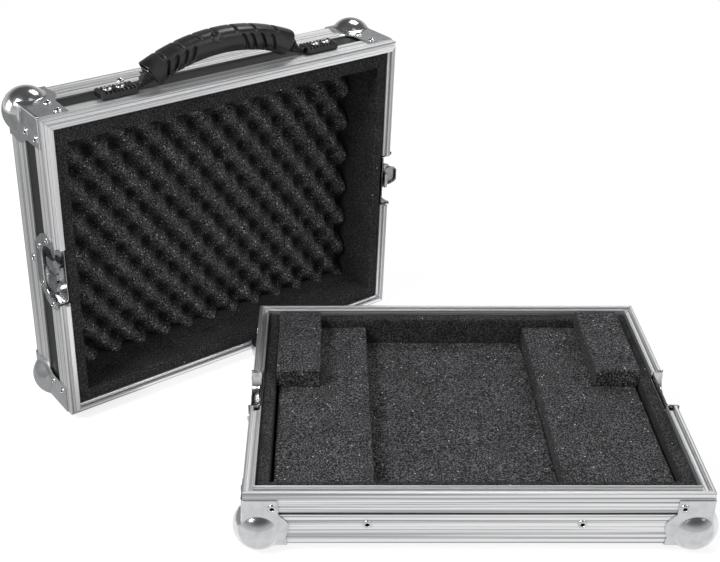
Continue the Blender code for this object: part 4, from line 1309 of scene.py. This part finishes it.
@dataclass
class PressedDish:
    """Pressed dish with a rolled mouth, on a flange with two rivet lobes.

    The steps of the rolled mouth are pairs of millimetres: how far the outline is drawn in, and
    its depth below the flange's face. Those of the wall give the depth as a share of the dish's.
    """

    pocket: float
    flange: float
    half: float = 29.8 * MM
    flange_half: float = 40.5 * MM
    face: float = -1.3 * MM
    back: float = -0.3 * MM
    floor: float = 8.6 * MM
    top_gap: float = 0.3 * MM
    edge_round: float = 0.4 * MM
    roundness: float = 0.55
    columns: int = 140
    mouth_steps: Sequence[tuple[float, float]] = (
        (-2.6, 0.0), (-2.2, -0.16), (-1.7, -0.5), (-1.1, -0.68), (-0.5, -0.7), (0.1, -0.6),
        (0.6, -0.3), (0.95, 0.25), (1.05, 0.8))
    wall_steps: Sequence[tuple[float, float]] = (
        (1.35, 0.55), (1.7, 0.86), (2.3, 0.96), (3.2, 1.0), (6.0, 1.0))
    bead_radius: float = 0.6 * MM
    bead_bend: float = 3.0 * MM
    bead_inset: float = 1.3 * MM
    bead_drop: float = 1.2 * MM
    bead_seat: float = 0.45 * MM

    def mouth(self, drawn: float) -> np.ndarray:
        """Outline of the dish: a box rounded as a superellipse, open at its straight top.

        Args:
            drawn: How far it is drawn in.

        Returns:
            Points across and up, from one end of the top round to the other.
        """
        angle = np.linspace(0, math.pi, 161)
        across = np.sign(np.cos(angle)) * np.abs(np.cos(angle)) ** self.roundness
        drop = np.abs(np.sin(angle)) ** self.roundness
        line = np.stack([(self.half - drawn) * across, -(self.pocket - drawn) * drop], axis=1)
        return resampled(line, self.columns)

    def lobes(self, drawn: float) -> np.ndarray:
        """Outline of the flange: two lobes above a lower tongue.

        The right half is given from the top down, as shares of the half width and of the depth.

        Args:
            drawn: How far it is drawn in.

        Returns:
            Points across and up, from one end of the top round to the other.
        """
        shape = np.array([(0.733, 0.009), (0.778, 0.057), (0.889, 0.102), (0.975, 0.182),
                          (1.0, 0.318), (0.983, 0.5), (0.901, 0.659), (0.765, 0.795),
                          (0.667, 0.909), (0.543, 1.0)])
        right = shape * (1, -1)
        whole = np.concatenate([right, (right * (-1, 1))[::-1]])
        line = whole * (self.flange_half - drawn, self.flange - drawn)
        return eased(resampled(line, self.columns), 3)

    def build(self, name: str, place: Matrix, steel: bpy.types.Material,
              extra: Sequence[np.ndarray]) -> bpy.types.Object:
        """Makes the dish.

        The grid runs from the flange's back edge over its face and the rolled mouth, down the
        wall and over the floor, which closes on the middle of the opening.

        Args:
            name: Name of the piece.
            place: Wall frame at the opening.
            steel: Its finish.
            extra: Further closed grids that belong to the pressing.

        Returns:
            The piece.
        """
        soft, deep = self.edge_round, self.floor - self.face
        rows = [(self.lobes(0), self.back), (self.lobes(0), self.face + soft),
                (self.lobes(0.3 * soft), self.face + 0.3 * soft), (self.lobes(soft), self.face)]
        rows += [(self.mouth(drawn * MM), self.face + depth * MM)
                 for drawn, depth in self.mouth_steps]
        rows += [(self.mouth(drawn * MM), self.face + depth * deep)
                 for drawn, depth in self.wall_steps]
        inner = rows[-1][0]
        rows += [(inner * share, self.floor) for share in (0.6, 0.3, 0.0)]
        grid = np.array([np.column_stack([line[:, 0], np.full(len(line), level), line[:, 1]])
                         for line, level in rows])
        grid[..., 2] = np.minimum(grid[..., 2], -self.top_gap)
        skin = Skin().grid(grid).grid(self.bead(), wrap=True, cap="both")
        for part in extra:
            skin.grid(part, wrap=True)
        return skin.build(name, place, steel, 38)

    def bead(self) -> np.ndarray:
        """Rolled edge of the dish where it is open: a round bar down one side, along and up.

        Returns:
            Its grid, a ring to a row.
        """
        half, bend = self.half - self.bead_inset, self.bead_bend
        turn = np.linspace(0, math.pi / 2, 8)
        low, high = self.floor + self.bead_seat, self.face + self.edge_round
        right = np.stack([half - bend + bend * np.cos(turn), low - bend + bend * np.sin(turn)], axis=1)
        path = np.concatenate([[(half, high)], right, (right * (-1, 1))[::-1], [(-half, high)]])
        ahead = np.gradient(path, axis=0)
        ahead /= np.linalg.norm(ahead, axis=1, keepdims=True)
        normal = np.stack([-ahead[:, 1], ahead[:, 0]], axis=1)
        angle = math.tau * np.arange(10) / 10
        level = path[:, None] + normal[:, None] * (self.bead_radius * np.cos(angle))[None, :, None]
        height = np.broadcast_to(self.bead_radius * np.sin(angle) - self.bead_drop, level.shape[:2])
        return np.stack([level[..., 0], level[..., 1], height], axis=-1)


@dataclass
class LatchWork:
    """The two butterfly latches of the lid and the two keepers of the base.

    Rivets are placed in millimetres, across and down from the opening.
    """

    layout: CaseLayout
    materials: Materials
    nodes: dict[str, bpy.types.Object]
    cam_depth: float = 11.0 * MM
    latch_pocket: float = 31.5 * MM
    latch_flange: float = 44.0 * MM
    latch_rivets: Sequence[tuple[float, float]] = (
        (-35.0, 14.0), (35.0, 14.0), (-20.5, 34.0), (20.5, 34.0))
    keeper_pocket: float = 22.2 * MM
    keeper_flange: float = 31.5 * MM
    keeper_rivets: Sequence[tuple[float, float]] = (
        (-34.0, 12.0), (34.0, 12.0), (-19.5, 25.5), (19.5, 25.5))
    striker_low: tuple[float, float, float] = (-10 * MM, 6.6 * MM, -6 * MM)
    striker_high: tuple[float, float, float] = (10 * MM, 9 * MM, -3.5 * MM)
    striker_edge: float = 0.6 * MM

    def boss(self) -> np.ndarray:
        """Round boss on the dish's floor that carries the spindle.

        Returns:
            Its grid, from the foot over the top and down into the bore.
        """
        profile = np.array([(5.9, 0.0), (5.4, 0.25), (5.0, 0.8), (4.8, 1.5), (4.5, 1.95), (4.1, 2.1),
                            (3.4, 2.1), (3.3, 1.7), (3.3, 0.2), (0.0, 0.2)]) * MM
        turn = (Matrix.Translation((0, PressedDish.floor, -self.cam_depth))
                @ Matrix.Rotation(math.pi / 2, 4, "X"))
        return carried(turned(profile, 40), turn)

    def set_rivets(self, rivets: Fixings, place: Matrix, spots: Sequence[tuple[float, float]]) -> None:
        """Sets the rivets of one flange.

        Args:
            rivets: Piece that gathers them.
            place: Wall frame at the opening.
            spots: Millimetres across and down.
        """
        for across, down in spots:
            seat = Matrix.Translation((across * MM, PressedDish.face, -down * MM))
            rivets.add(place @ seat, Fixings.RIVET)

    def build_latch(self, side: Side, rivets: Fixings) -> None:
        """One latch: its dish and the finish of its hook, cam and wings.

        Args:
            side: Wall that it is in.
            rivets: Piece that gathers its rivets.
        """
        name = side.name.lower()
        place = self.layout.lid_frame() @ self.layout.wall(side, self.layout.lid_height)
        dish = PressedDish(self.latch_pocket, self.latch_flange)
        piece = dish.build(f"latch_{name}_pressed_dish", place, self.materials.shade_darkened_dish_steel,
                           [self.boss()])
        settle(piece, "lid", [f"latch_{name}_dish"])
        for part in ("hook", "cam", "wing_front", "wing_rear"):
            dress(self.nodes, f"latch_{name}_{part}", self.materials.shade_darkened_steel)
        self.set_rivets(rivets, place, self.latch_rivets)

    def build_keeper(self, side: Side, rivets: Fixings) -> None:
        """One keeper: its dish and the striker bar.

        Args:
            side: Wall that it is in.
            rivets: Piece that gathers its rivets.
        """
        name = side.name.lower()
        place = self.layout.base_frame() @ self.layout.wall(side, self.layout.base_height)
        dish = PressedDish(self.keeper_pocket, self.keeper_flange)
        piece = dish.build(f"keeper_{name}_pressed_dish", place, self.materials.shade_darkened_dish_steel, [])
        settle(piece, "base", [f"keeper_{name}"])
        striker = Skin()
        for sheet in soft_box(self.striker_low, self.striker_high, self.striker_edge, 3 * MM):
            striker.grid(sheet)
        bar = striker.build(f"keeper_{name}_striker", place, self.materials.shade_darkened_steel)
        settle(bar, "base")
        self.set_rivets(rivets, place, self.keeper_rivets)

    def build(self) -> None:
        """Makes both latches and both keepers."""
        on_lid, on_base = Fixings("latch_rivets"), Fixings("keeper_rivets")
        for side in (Side.LEFT, Side.RIGHT):
            self.build_latch(side, on_lid)
            self.build_keeper(side, on_base)
        on_lid.finish("lid", self.materials)
        on_base.finish("base", self.materials)


@dataclass
class CarryHandle:
    """Carrying handle: a bowed rubber grip on a ribbed strap, hinged in two ribbed mounts.

    Notches and grooves are placed as shares of the grip's half length. The steps of a cup are
    pairs of millimetres: how deep in the grip, and how far inside its outline. Screws are placed
    in millimetres from a mount's inner end.
    """

    layout: CaseLayout
    materials: Materials
    nodes: dict[str, bpy.types.Object]
    depth: float = 22.3 * MM
    pivot: float = 4.0 * MM
    rise: float = 32.2 * MM
    drop: float = 17.5 * MM
    half: float = 79.5 * MM
    shift: float = 3.5 * MM
    half_height: float = 12.3 * MM
    half_width: float = 13.5 * MM
    lip: float = 0.9 * MM
    grip_rings: int = 420
    grip_points: int = 96
    grip_power: float = 0.8
    cup_depth: float = 8.0 * MM
    cup_steps: Sequence[tuple[float, float]] = (
        (0.0, 0.9), (0.25, 1.35), (0.8, 1.7), (3.0, 2.0), (5.5, 2.4), (8.0, 3.2))
    notches: Sequence[float] = (0.83, 0.59, 0.35, 0.123, -0.132, -0.387, -0.688)
    notch_half: float = 2.1 * MM
    notch_depth: float = 2.4 * MM
    grooves: Sequence[float] = (0.86, 0.735, 0.61, 0.50, -0.26, -0.375, -0.52, -0.67)
    groove_half: float = 2.4 * MM
    groove_depth: float = 3.6 * MM
    groove_reach: float = 8.0 * MM
    groove_slant: float = math.radians(24)
    groove_middle: float = math.radians(-12)
    mouth_slant: float = 6.0 * MM
    mouth_reach: float = 22 * MM
    spot_along: float = 12 * MM
    spot_angle: float = math.radians(38)
    spot_radius: float = 5.2 * MM
    spot_rise: float = 0.7 * MM
    neck_half: tuple[float, float] = (9.9 * MM, 8.9 * MM)
    neck_taper: tuple[float, float] = (0.6, 0.7)
    neck_ribs: int = 6
    neck_waist: float = 0.78
    neck_rings: int = 72
    neck_start: float = 1.0 * MM
    neck_gap: float = 1.4 * MM
    pin_radius: float = 2.3 * MM
    pin_length: float = 10 * MM
    pin_start: float = 0.3 * MM
    pin_end: float = 1.1 * MM
    mount_start: float = 96 * MM
    mount_length: float = 38 * MM
    mount_width: float = 17.5 * MM
    mount_rise: float = 7.5 * MM
    mount_seat: float = 0.3 * MM
    mount_edge: float = 1.6 * MM
    mount_pitch: float = 0.4 * MM
    rib_pitch: float = 4.1 * MM
    rib_depth: float = 2.4 * MM
    screw_places: Sequence[float] = (15.0, 28.0)
    screw_size: float = 1.2
    screw_sunk: float = 0.3 * MM

    def line(self, x: np.ndarray) -> tuple[np.ndarray, np.ndarray]:
        """Height of the bowed centre line over the wall, a parabola, and its slope."""
        return self.rise - self.drop * (x / self.half) ** 2, -2 * self.drop * x / self.half ** 2

    def rings(self, x: np.ndarray, height: np.ndarray, slope: np.ndarray, wide: np.ndarray,
              tall: np.ndarray, count: int, power: float) -> np.ndarray:
        """Rings square to a line in the handle's plane, each a rounded box section.

        A ring runs round the cosine and sine of an angle, both raised to a power. The cosine
        counts across the handle's depth, and the sine along the line's normal.

        Args:
            x: Places along the wall.
            height: Heights over the wall.
            slope: Slopes of the line.
            wide: Half widths, across the handle's depth.
            tall: Half heights, square to the line.
            count: Points to a ring.
            power: Power of the cosine and sine; below 1 the section is boxier.

        Returns:
            Grid of points in the wall frame at the opening.
        """
        angle = math.tau * (np.arange(count) + 0.5) / count
        across = np.sign(np.cos(angle)) * np.abs(np.cos(angle)) ** power
        upward = np.sign(np.sin(angle)) * np.abs(np.sin(angle)) ** power
        wide, tall = wide.reshape(len(x), -1), tall.reshape(len(x), -1)
        length = np.hypot(1, slope)[:, None]
        up = upward * tall
        return np.stack([x[:, None] - slope[:, None] / length * up, -height[:, None] - up / length,
                         across * wide - self.depth], axis=-1)

    def cut(self, sheet: np.ndarray, x: np.ndarray) -> np.ndarray:
        """Grip with its finger notches on top and slanted grooves on both flanks.

        A notch draws the upper side in over a short length. A groove draws the flank in where
        it lies within a bar that slants across it, with rounded ends. Each cut's depth falls
        smoothly to nothing at its edge.

        Args:
            sheet: Rings of the plain grip.
            x: Places of the rings.

        Returns:
            The cut rings.
        """
        height, slope = self.line(x)
        length = np.hypot(1, slope)
        normal = np.stack([-slope / length, -1 / length], axis=1)
        centre = np.stack([x, -height], axis=1)
        away = sheet[..., :2] - centre[:, None]
        upward = (away * normal[:, None]).sum(-1)
        across = sheet[..., 2] + self.depth
        lean = upward / np.hypot(upward, across)
        for share in self.notches:
            off = np.abs(x - self.half * share) / self.notch_half
            bite = self.notch_depth * (1 - smooth_step(off, 0.35, 1.0))[:, None]
            bite = bite * smooth_step(lean, 0.55, 0.85)
            upward, across = upward - bite * lean, across - bite * np.sign(across) * (1 - lean)
        side = np.sign(across)
        angle = np.arctan2(upward / self.half_height, np.abs(across) / self.half_width)
        flank = (angle - self.groove_middle) * self.half_width
        for share in self.grooves:
            lean = math.copysign(math.tan(self.groove_slant), share)
            off = (x - self.half * share)[:, None] + lean * flank
            over = np.maximum(np.abs(flank) - self.groove_reach, 0)
            near = np.hypot(off, over) / self.groove_half
            bite = self.groove_depth * (1 - smooth_step(near, 0.55, 1.15))
            across = across - side * bite * np.cos(angle)
            upward = upward - bite * np.sin(angle)
        raised = self.spot_lift(x, (angle - self.spot_angle) * self.half_width, side)
        across = across + side * raised * np.cos(angle)
        upward = upward + raised * np.sin(angle)
        out = sheet.copy()
        out[..., :2] = centre[:, None] + normal[:, None] * upward[..., None]
        out[..., 2] = across - self.depth
        return out

    def spot_lift(self, x: np.ndarray, up: np.ndarray, side: np.ndarray) -> np.ndarray:
        """Lift of a plain round spot on the grip's outward flank: a low ring round a flat disc.

        Args:
            x: Places of the rings.
            up: Distance of each point up the flank from the spot's middle.
            side: Which flank each point is on.

        Returns:
            Lift of each point.
        """
        away = np.hypot((x - self.spot_along)[:, None], up) / self.spot_radius
        ring = smooth_step(away, 0.72, 0.82) * (1 - smooth_step(away, 0.95, 1.08))
        return np.where(side > 0, self.spot_rise * ring, 0.0)

    def slanted(self, sheet: np.ndarray, away: np.ndarray, sign: float) -> np.ndarray:
        """Rings near an end of the grip, their lower side drawn in, so that the mouth slants down.

        Args:
            sheet: Rings of points.
            away: Distance of each ring from the end.
            sign: Which end, along the wall.

        Returns:
            The moved rings.
        """
        near = 1 - smooth_step(away, 0.0, self.mouth_reach)
        middle = sheet.mean(axis=1, keepdims=True)
        upward = (middle - sheet)[..., 1] / self.half_height
        shift = self.mouth_slant * (0.5 - 0.5 * np.clip(upward, -1, 1)) * near[:, None]
        out = sheet.copy()
        out[..., 0] -= sign * shift
        return out

    def build_grip(self, place: Matrix) -> None:
        """Makes the grip, with its cupped ends.

        Args:
            place: Wall frame at the opening.
        """
        x = np.linspace(self.shift - self.half, self.shift + self.half, self.grip_rings)
        height, slope = self.line(x)
        end = np.minimum(x - x[0], x[-1] - x)
        lip, points, power = self.lip, self.grip_points, self.grip_power
        soft = lip - np.sqrt(np.maximum(lip ** 2 - np.maximum(lip - end, 0) ** 2, 0))
        body = self.cut(self.rings(x, height, slope, self.half_width - soft,
                                   self.half_height - soft, points, power), x)
        for sign in (-1, 1):
            body = self.slanted(body, np.abs(self.shift + sign * self.half - x), sign)
        skin = Skin().grid(body, wrap=True)
        down, inside = np.array(self.cup_steps).T * MM
        for sign in (-1, 1):
            at = self.shift + sign * (self.half - down)
            height, slope = self.line(at)
            cup = self.rings(at, height, slope, self.half_width - inside,
                             self.half_height - inside, points, power)
            skin.grid(self.slanted(cup, down, sign), wrap=True, cap="last")
        piece = skin.build("handle_rubber_grip", place, self.materials.rubber, 42)
        settle(piece, "handle", ["handle_grip"])

    def neck_path(self, start: float, end: float,
                  share: np.ndarray) -> tuple[np.ndarray, np.ndarray]:
        """Centre line of a neck: a cubic that leaves the grip's line and levels out at the pin.

        Args:
            start: Place along the wall where it leaves the grip's line.
            end: Place of the hinge pin.
            share: Shares of the way between them.

        Returns:
            Height over the wall and slope, at each share.
        """
        run = end - start
        first, rate = self.line(np.array([start]))
        s2, s3 = share ** 2, share ** 3
        height = ((2 * s3 - 3 * s2 + 1) * first + (s3 - 2 * s2 + share) * rate * run
                  + (3 * s2 - 2 * s3) * self.pivot)
        slope = ((6 * s2 - 6 * share) * first + (3 * s2 - 4 * share + 1) * rate * run
                 + (6 * share - 6 * s2) * self.pivot) / run
        return height, slope

    def build_strap(self, place: Matrix) -> None:
        """Makes the ribbed necks that run from the cups down to the hinge pins.

        A neck's size falls toward the pin, and swells at each rib by a stepped cosine.

        Args:
            place: Wall frame at the opening.
        """
        skin = Skin()
        share = np.linspace(0, 1, self.neck_rings)
        ribs = smooth_step(0.5 - 0.5 * np.cos(math.tau * self.neck_ribs * share), 0.15, 0.85)
        swell = self.neck_waist + (1 - self.neck_waist) * ribs
        taper = smooth_step(share, 0.15, 0.9)
        wide, tall = (half * swell * (1 - fall * taper)
                      for half, fall in zip(self.neck_half, self.neck_taper))
        for sign in (-1, 1):
            start = self.half - self.cup_depth + sign * self.shift + self.neck_start
            end = self.mount_start - self.neck_gap
            height, slope = self.neck_path(start, end, share)
            pin = [end + self.pin_start, end + self.pin_length + self.pin_end]
            x = np.concatenate([start + (end - start) * share, pin])
            height = np.concatenate([height, [self.pivot] * 2])
            slope = np.concatenate([slope, [0, 0]])
            radius = [self.pin_radius] * 2
            skin.grid(self.rings(sign * x, height, sign * slope, np.concatenate([wide, radius]),
                                 np.concatenate([tall, radius]), 40, 0.85), wrap=True, cap="both")
        piece = skin.build("handle_ribbed_necks", place, self.materials.plastic, 40)
        settle(piece, "handle", ["handle_strap"])

    def ribbed(self, sheet: np.ndarray) -> np.ndarray:
        """Face of a mount with slots across its top, on both sides of a ridge.

        Args:
            sheet: Grid of the plain block.

        Returns:
            The grid, sunk by the slots' depth where a wave along the mount is high.
        """
        along = sheet[..., 0] - self.mount_start
        top = smooth_step(-sheet[..., 1], self.mount_rise - 1.4 * MM, self.mount_rise - 0.6 * MM)
        ends = (smooth_step(along, 3 * MM, 4 * MM)
                * smooth_step(self.mount_length - along, 3 * MM, 4 * MM))
        beside = smooth_step(np.abs(sheet[..., 2] + self.depth), 0.7 * MM, 1.1 * MM)
        wave = smooth_step(np.cos(math.tau * along / self.rib_pitch), -0.3, 0.3)
        sunk = sheet.copy()
        sunk[..., 1] += self.rib_depth * wave * top * ends * beside
        return sunk

    def build_mounts(self, place: Matrix) -> None:
        """Makes the two ribbed mounts and their screws.

        Args:
            place: Wall frame at the opening.
        """
        screws = Fixings("handle_screws")
        reach = self.mount_width / 2
        low = (self.mount_start, -self.mount_rise, -self.depth - reach)
        high = (self.mount_start + self.mount_length, -self.mount_seat, -self.depth + reach)
        for side, sign in (("left", 1), ("right", -1)):
            skin = Skin()
            for sheet in soft_box(low, high, self.mount_edge, self.mount_pitch):
                skin.grid(self.ribbed(sheet) * (sign, 1, 1))
            piece = skin.build(f"handle_{side}_ribbed_mount", place, self.materials.plastic, 40)
            settle(piece, "lid", [f"handle_mount_{side}"])
            for along in self.screw_places:
                spot = (sign * (self.mount_start + along * MM), self.screw_sunk - self.mount_rise,
                        -self.depth)
                screws.add(place @ Matrix.Translation(spot), Fixings.SCREW, self.screw_size)
        screws.finish("lid", self.materials)

    def build(self) -> None:
        """Makes the handle on the lid's back wall."""
        place = self.layout.lid_frame() @ self.layout.wall(Side.BACK, self.layout.lid_height)
        self.build_grip(place)
        self.build_strap(place)
        self.build_mounts(place)


@dataclass
class RubberFeet:
    """Two round rubber feet on the lid wall that stands down, each with a cupped face."""

    layout: CaseLayout
    materials: Materials
    reach: float = 130 * MM

    def build(self) -> None:
        """Makes both feet."""
        radius, drop = self.layout.foot_radius, self.layout.foot_drop
        profile = np.array([
            (radius, -1.5 * MM), (radius, 0.3 * drop), (radius - 0.35 * MM, 0.62 * drop),
            (radius - 0.9 * MM, 0.82 * drop), (radius - 1.5 * MM, 0.95 * drop),
            (radius - 2.2 * MM, drop), (0.55 * radius, drop), (0.44 * radius, drop - 0.2 * MM),
            (0.38 * radius, drop - 1.0 * MM), (0.36 * radius, drop - 2 * MM), (0.0, drop - 2 * MM)])
        for name, across in (("left", -self.reach), ("right", self.reach)):
            place = (self.layout.lid_frame() @ self.layout.wall(Side.FRONT, self.layout.lid_height)
                     @ Matrix.Translation((across, 0, -self.layout.strip_centre))
                     @ Matrix.Rotation(math.pi / 2, 4, "X"))
            skin = Skin().grid(turned(profile, 48), wrap=True)
            piece = skin.build(f"lid_rubber_foot_{name}", place, self.materials.rubber, 40)
            settle(piece, "lid", [f"lid_foot_{name}"])


@dataclass(frozen=True)
class Card:
    """Upright or flat card that only reflections show, from its lowest to its highest corner."""

    name: str
    low: tuple[float, float, float]
    high: tuple[float, float, float]
    tone: float

    def corners(self) -> list[tuple[float, float, float]]:
        """The four corners in turn.

        Returns:
            Corners of a card square to x, or else of one square to z.
        """
        (x0, y0, z0), (x1, y1, z1) = self.low, self.high
        near, far = (y1, y0) if x0 == x1 else (y0, y1)
        return [(x0, y0, z0), (x1, near, z0), (x1, y1, z1), (x0, far, z1)]


@dataclass
class Studio:
    """White table in soft light, and the photograph's camera.

    A lamp is given by its place, its width and its power in watts. The walls of the dim room
    start and end at two heights of a unit direction.
    """

    location: tuple[float, float, float] = (-0.01649, -1.03644, 0.69917)
    pitch: float = 0.48988
    lens: float = 59.343
    sensor: float = 36.0
    shift: tuple[float, float] = (0.04682, -0.01238)
    sky: float = 0.37
    walls: tuple[float, float] = (0.12, 0.62)
    wall_tone: float = 0.6
    ceiling: float = 0.10
    floor_half: float = 9.0
    floor_tone: float = 0.8
    floor_catch: float = 0.3
    floor_glow: float = 0.78
    lamps: Sequence[tuple[tuple[float, float, float], float, float]] = (
        ((-1.2, -1.05, 1.7), 0.75, 34.0), ((0.4, 1.1, 1.9), 0.7, 12.0), ((1.5, -0.6, 1.5), 0.9, 7.0),
        ((-1.42, -0.13, 0.62), 0.55, 3.5))
    target: tuple[float, float, float] = (0.02, -0.02, 0.08)
    cards: Sequence[Card] = (
        Card("grey_card_left", (-0.47, -0.3, 0.0), (-0.47, 1.2, 0.3), 0.3),
        Card("grey_card_beside", (-0.7, -0.245, 0.003), (-0.2, 0.5, 0.003), 0.42),
        Card("grey_card_front", (-1.2, -2.2, 0.002), (1.2, -0.245, 0.002), 0.86),
        Card("bright_card_above", (0.35, -1.1, 2.0), (1.1, -0.3, 2.0), 1.0))

    def camera(self) -> None:
        """Makes the camera, which looks along +y and down, without roll."""
        data = bpy.data.cameras.new("photograph camera")
        data.lens, data.sensor_width, data.sensor_fit = self.lens, self.sensor, "HORIZONTAL"
        data.shift_x, data.shift_y = self.shift
        eye = bpy.data.objects.new("photograph camera", data)
        eye.location = self.location
        eye.rotation_euler = Euler((math.pi / 2 - self.pitch, 0, 0))
        bpy.context.scene.collection.objects.link(eye)
        bpy.context.scene.camera = eye

    def world(self) -> None:
        """Makes the surroundings: white to the camera and a soft even light to the case.

        Metal and clear pieces see a dim room instead. The camera sees the table alone, so the
        room stands above the table's horizon, pale at its foot and dark toward its ceiling.
        """
        world = bpy.data.worlds.new("white studio")
        world.use_nodes = True
        tree = world.node_tree
        path = add_node(tree, "ShaderNodeLightPath").outputs
        way = add_node(tree, "ShaderNodeTexCoord").outputs["Generated"]
        rise = add_node(tree, "ShaderNodeSeparateXYZ", {"Vector": way}).outputs["Z"]
        room = add_node(tree, "ShaderNodeMapRange", {
            "Value": rise, "From Min": self.walls[0], "From Max": self.walls[1],
            "To Min": self.wall_tone, "To Max": self.ceiling}, interpolation_type="SMOOTHSTEP")
        mirrored = add_node(tree, "ShaderNodeMath", {
            0: path["Is Glossy Ray"], 1: path["Is Transmission Ray"]}, operation="MAXIMUM")
        soft = add_node(tree, "ShaderNodeMix", {"Factor": mirrored.outputs[0], 2: self.sky,
                                                3: room.outputs[0]})
        level = add_node(tree, "ShaderNodeMix", {"Factor": path["Is Camera Ray"],
                                                 2: soft.outputs[0], 3: 1.0})
        background = tree.nodes["Background"]
        tree.links.new(level.outputs[0], background.inputs["Strength"])
        background.inputs["Color"].default_value = (1, 1, 1, 1)
        bpy.context.scene.world = world

    def sheet(self, name: str, corners: Sequence[tuple[float, float, float]],
              finish: bpy.types.Material, shown: bool) -> None:
        """Sets a flat stage piece.

        Args:
            name: Name of the piece.
            corners: Its four corners.
            finish: Its material.
            shown: Whether it shows, or else is seen only in reflections.
        """
        mesh = bpy.data.meshes.new(name)
        mesh.from_pydata(corners, [], [(0, 1, 2, 3)])
        mesh.materials.append(finish)
        piece = bpy.data.objects.new(name, mesh)
        if not shown:
            piece.visible_camera = piece.visible_diffuse = piece.visible_shadow = False
            piece.visible_transmission = piece.visible_volume_scatter = False
        bpy.context.scene.collection.objects.link(piece)

    def card(self, card: Card) -> None:
        """Sets a card beside the case, evenly bright.

        Args:
            card: Its name, corners and brightness.
        """
        made, tree, shader = blank_material(card.name)
        tree.nodes.remove(shader)
        glow = add_node(tree, "ShaderNodeEmission", {"Strength": card.tone})
        tree.links.new(glow.outputs[0], tree.nodes["Material Output"].inputs["Surface"])
        self.sheet(card.name, card.corners(), made, False)

    def floor(self) -> None:
        """Makes the floor: almost white to the eye and to mirrors, with a faint soft shadow."""
        made, tree, shader = blank_material("white studio floor")
        tree.nodes.remove(shader)
        path = add_node(tree, "ShaderNodeLightPath").outputs
        seen = path["Is Camera Ray"]
        for ray in ("Is Glossy Ray", "Is Transmission Ray"):
            seen = add_node(tree, "ShaderNodeMath", {0: seen, 1: path[ray]},
                            operation="MAXIMUM").outputs[0]
        base, catch = (add_node(tree, "ShaderNodeBsdfDiffuse", {"Color": (tone, tone, tone, 1)})
                       for tone in (self.floor_tone, self.floor_catch))
        glow = add_node(tree, "ShaderNodeEmission", {"Strength": self.floor_glow})
        pale = add_node(tree, "ShaderNodeAddShader", {0: catch.outputs[0], 1: glow.outputs[0]})
        mixed = add_node(tree, "ShaderNodeMixShader", {0: seen, 1: base.outputs[0],
                                                       2: pale.outputs[0]})
        tree.links.new(mixed.outputs[0], tree.nodes["Material Output"].inputs["Surface"])
        reach = self.floor_half
        self.sheet("studio_floor", [(-reach, -reach, 0), (reach, -reach, 0), (reach, reach, 0),
                                    (-reach, reach, 0)], made, True)

    def lights(self) -> None:
        """Hangs the soft lamps, aimed at the case."""
        for number, (spot, size, power) in enumerate(self.lamps):
            data = bpy.data.lights.new(f"soft lamp {number}", "AREA")
            data.size, data.energy = size, power
            lamp = bpy.data.objects.new(f"soft lamp {number}", data)
            lamp.location = spot
            aim = Vector(self.target) - Vector(spot)
            lamp.rotation_euler = aim.to_track_quat("-Z", "Y").to_euler()
            bpy.context.scene.collection.objects.link(lamp)

    def build(self) -> None:
        """Makes the studio."""
        self.camera()
        self.world()
        self.floor()
        self.lights()
        for card in self.cards:
            self.card(card)
        bpy.context.scene.view_settings.view_transform = "Standard"


def main() -> None:
    """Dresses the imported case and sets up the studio."""
    logging.basicConfig(level=logging.INFO, format="%(message)s")
    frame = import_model()
    nodes = frame["nodes"]
    layout = CaseLayout()
    Studio().build()
    materials = Materials(layout)
    on_base, on_lid = layout.base_frame(), layout.lid_frame()
    BaseShell(layout, materials, nodes, on_base, layout.base_height).build()
    LidShell(layout, materials, nodes, on_lid, layout.lid_height).build()
    BaseBed(layout, materials, on_base, "base").build()
    LidBed(layout, materials, on_lid, "lid").build()
    LatchWork(layout, materials, nodes).build()
    CarryHandle(layout, materials, nodes).build()
    RubberFeet(layout, materials).build()


if __name__ == "__main__":
    main()
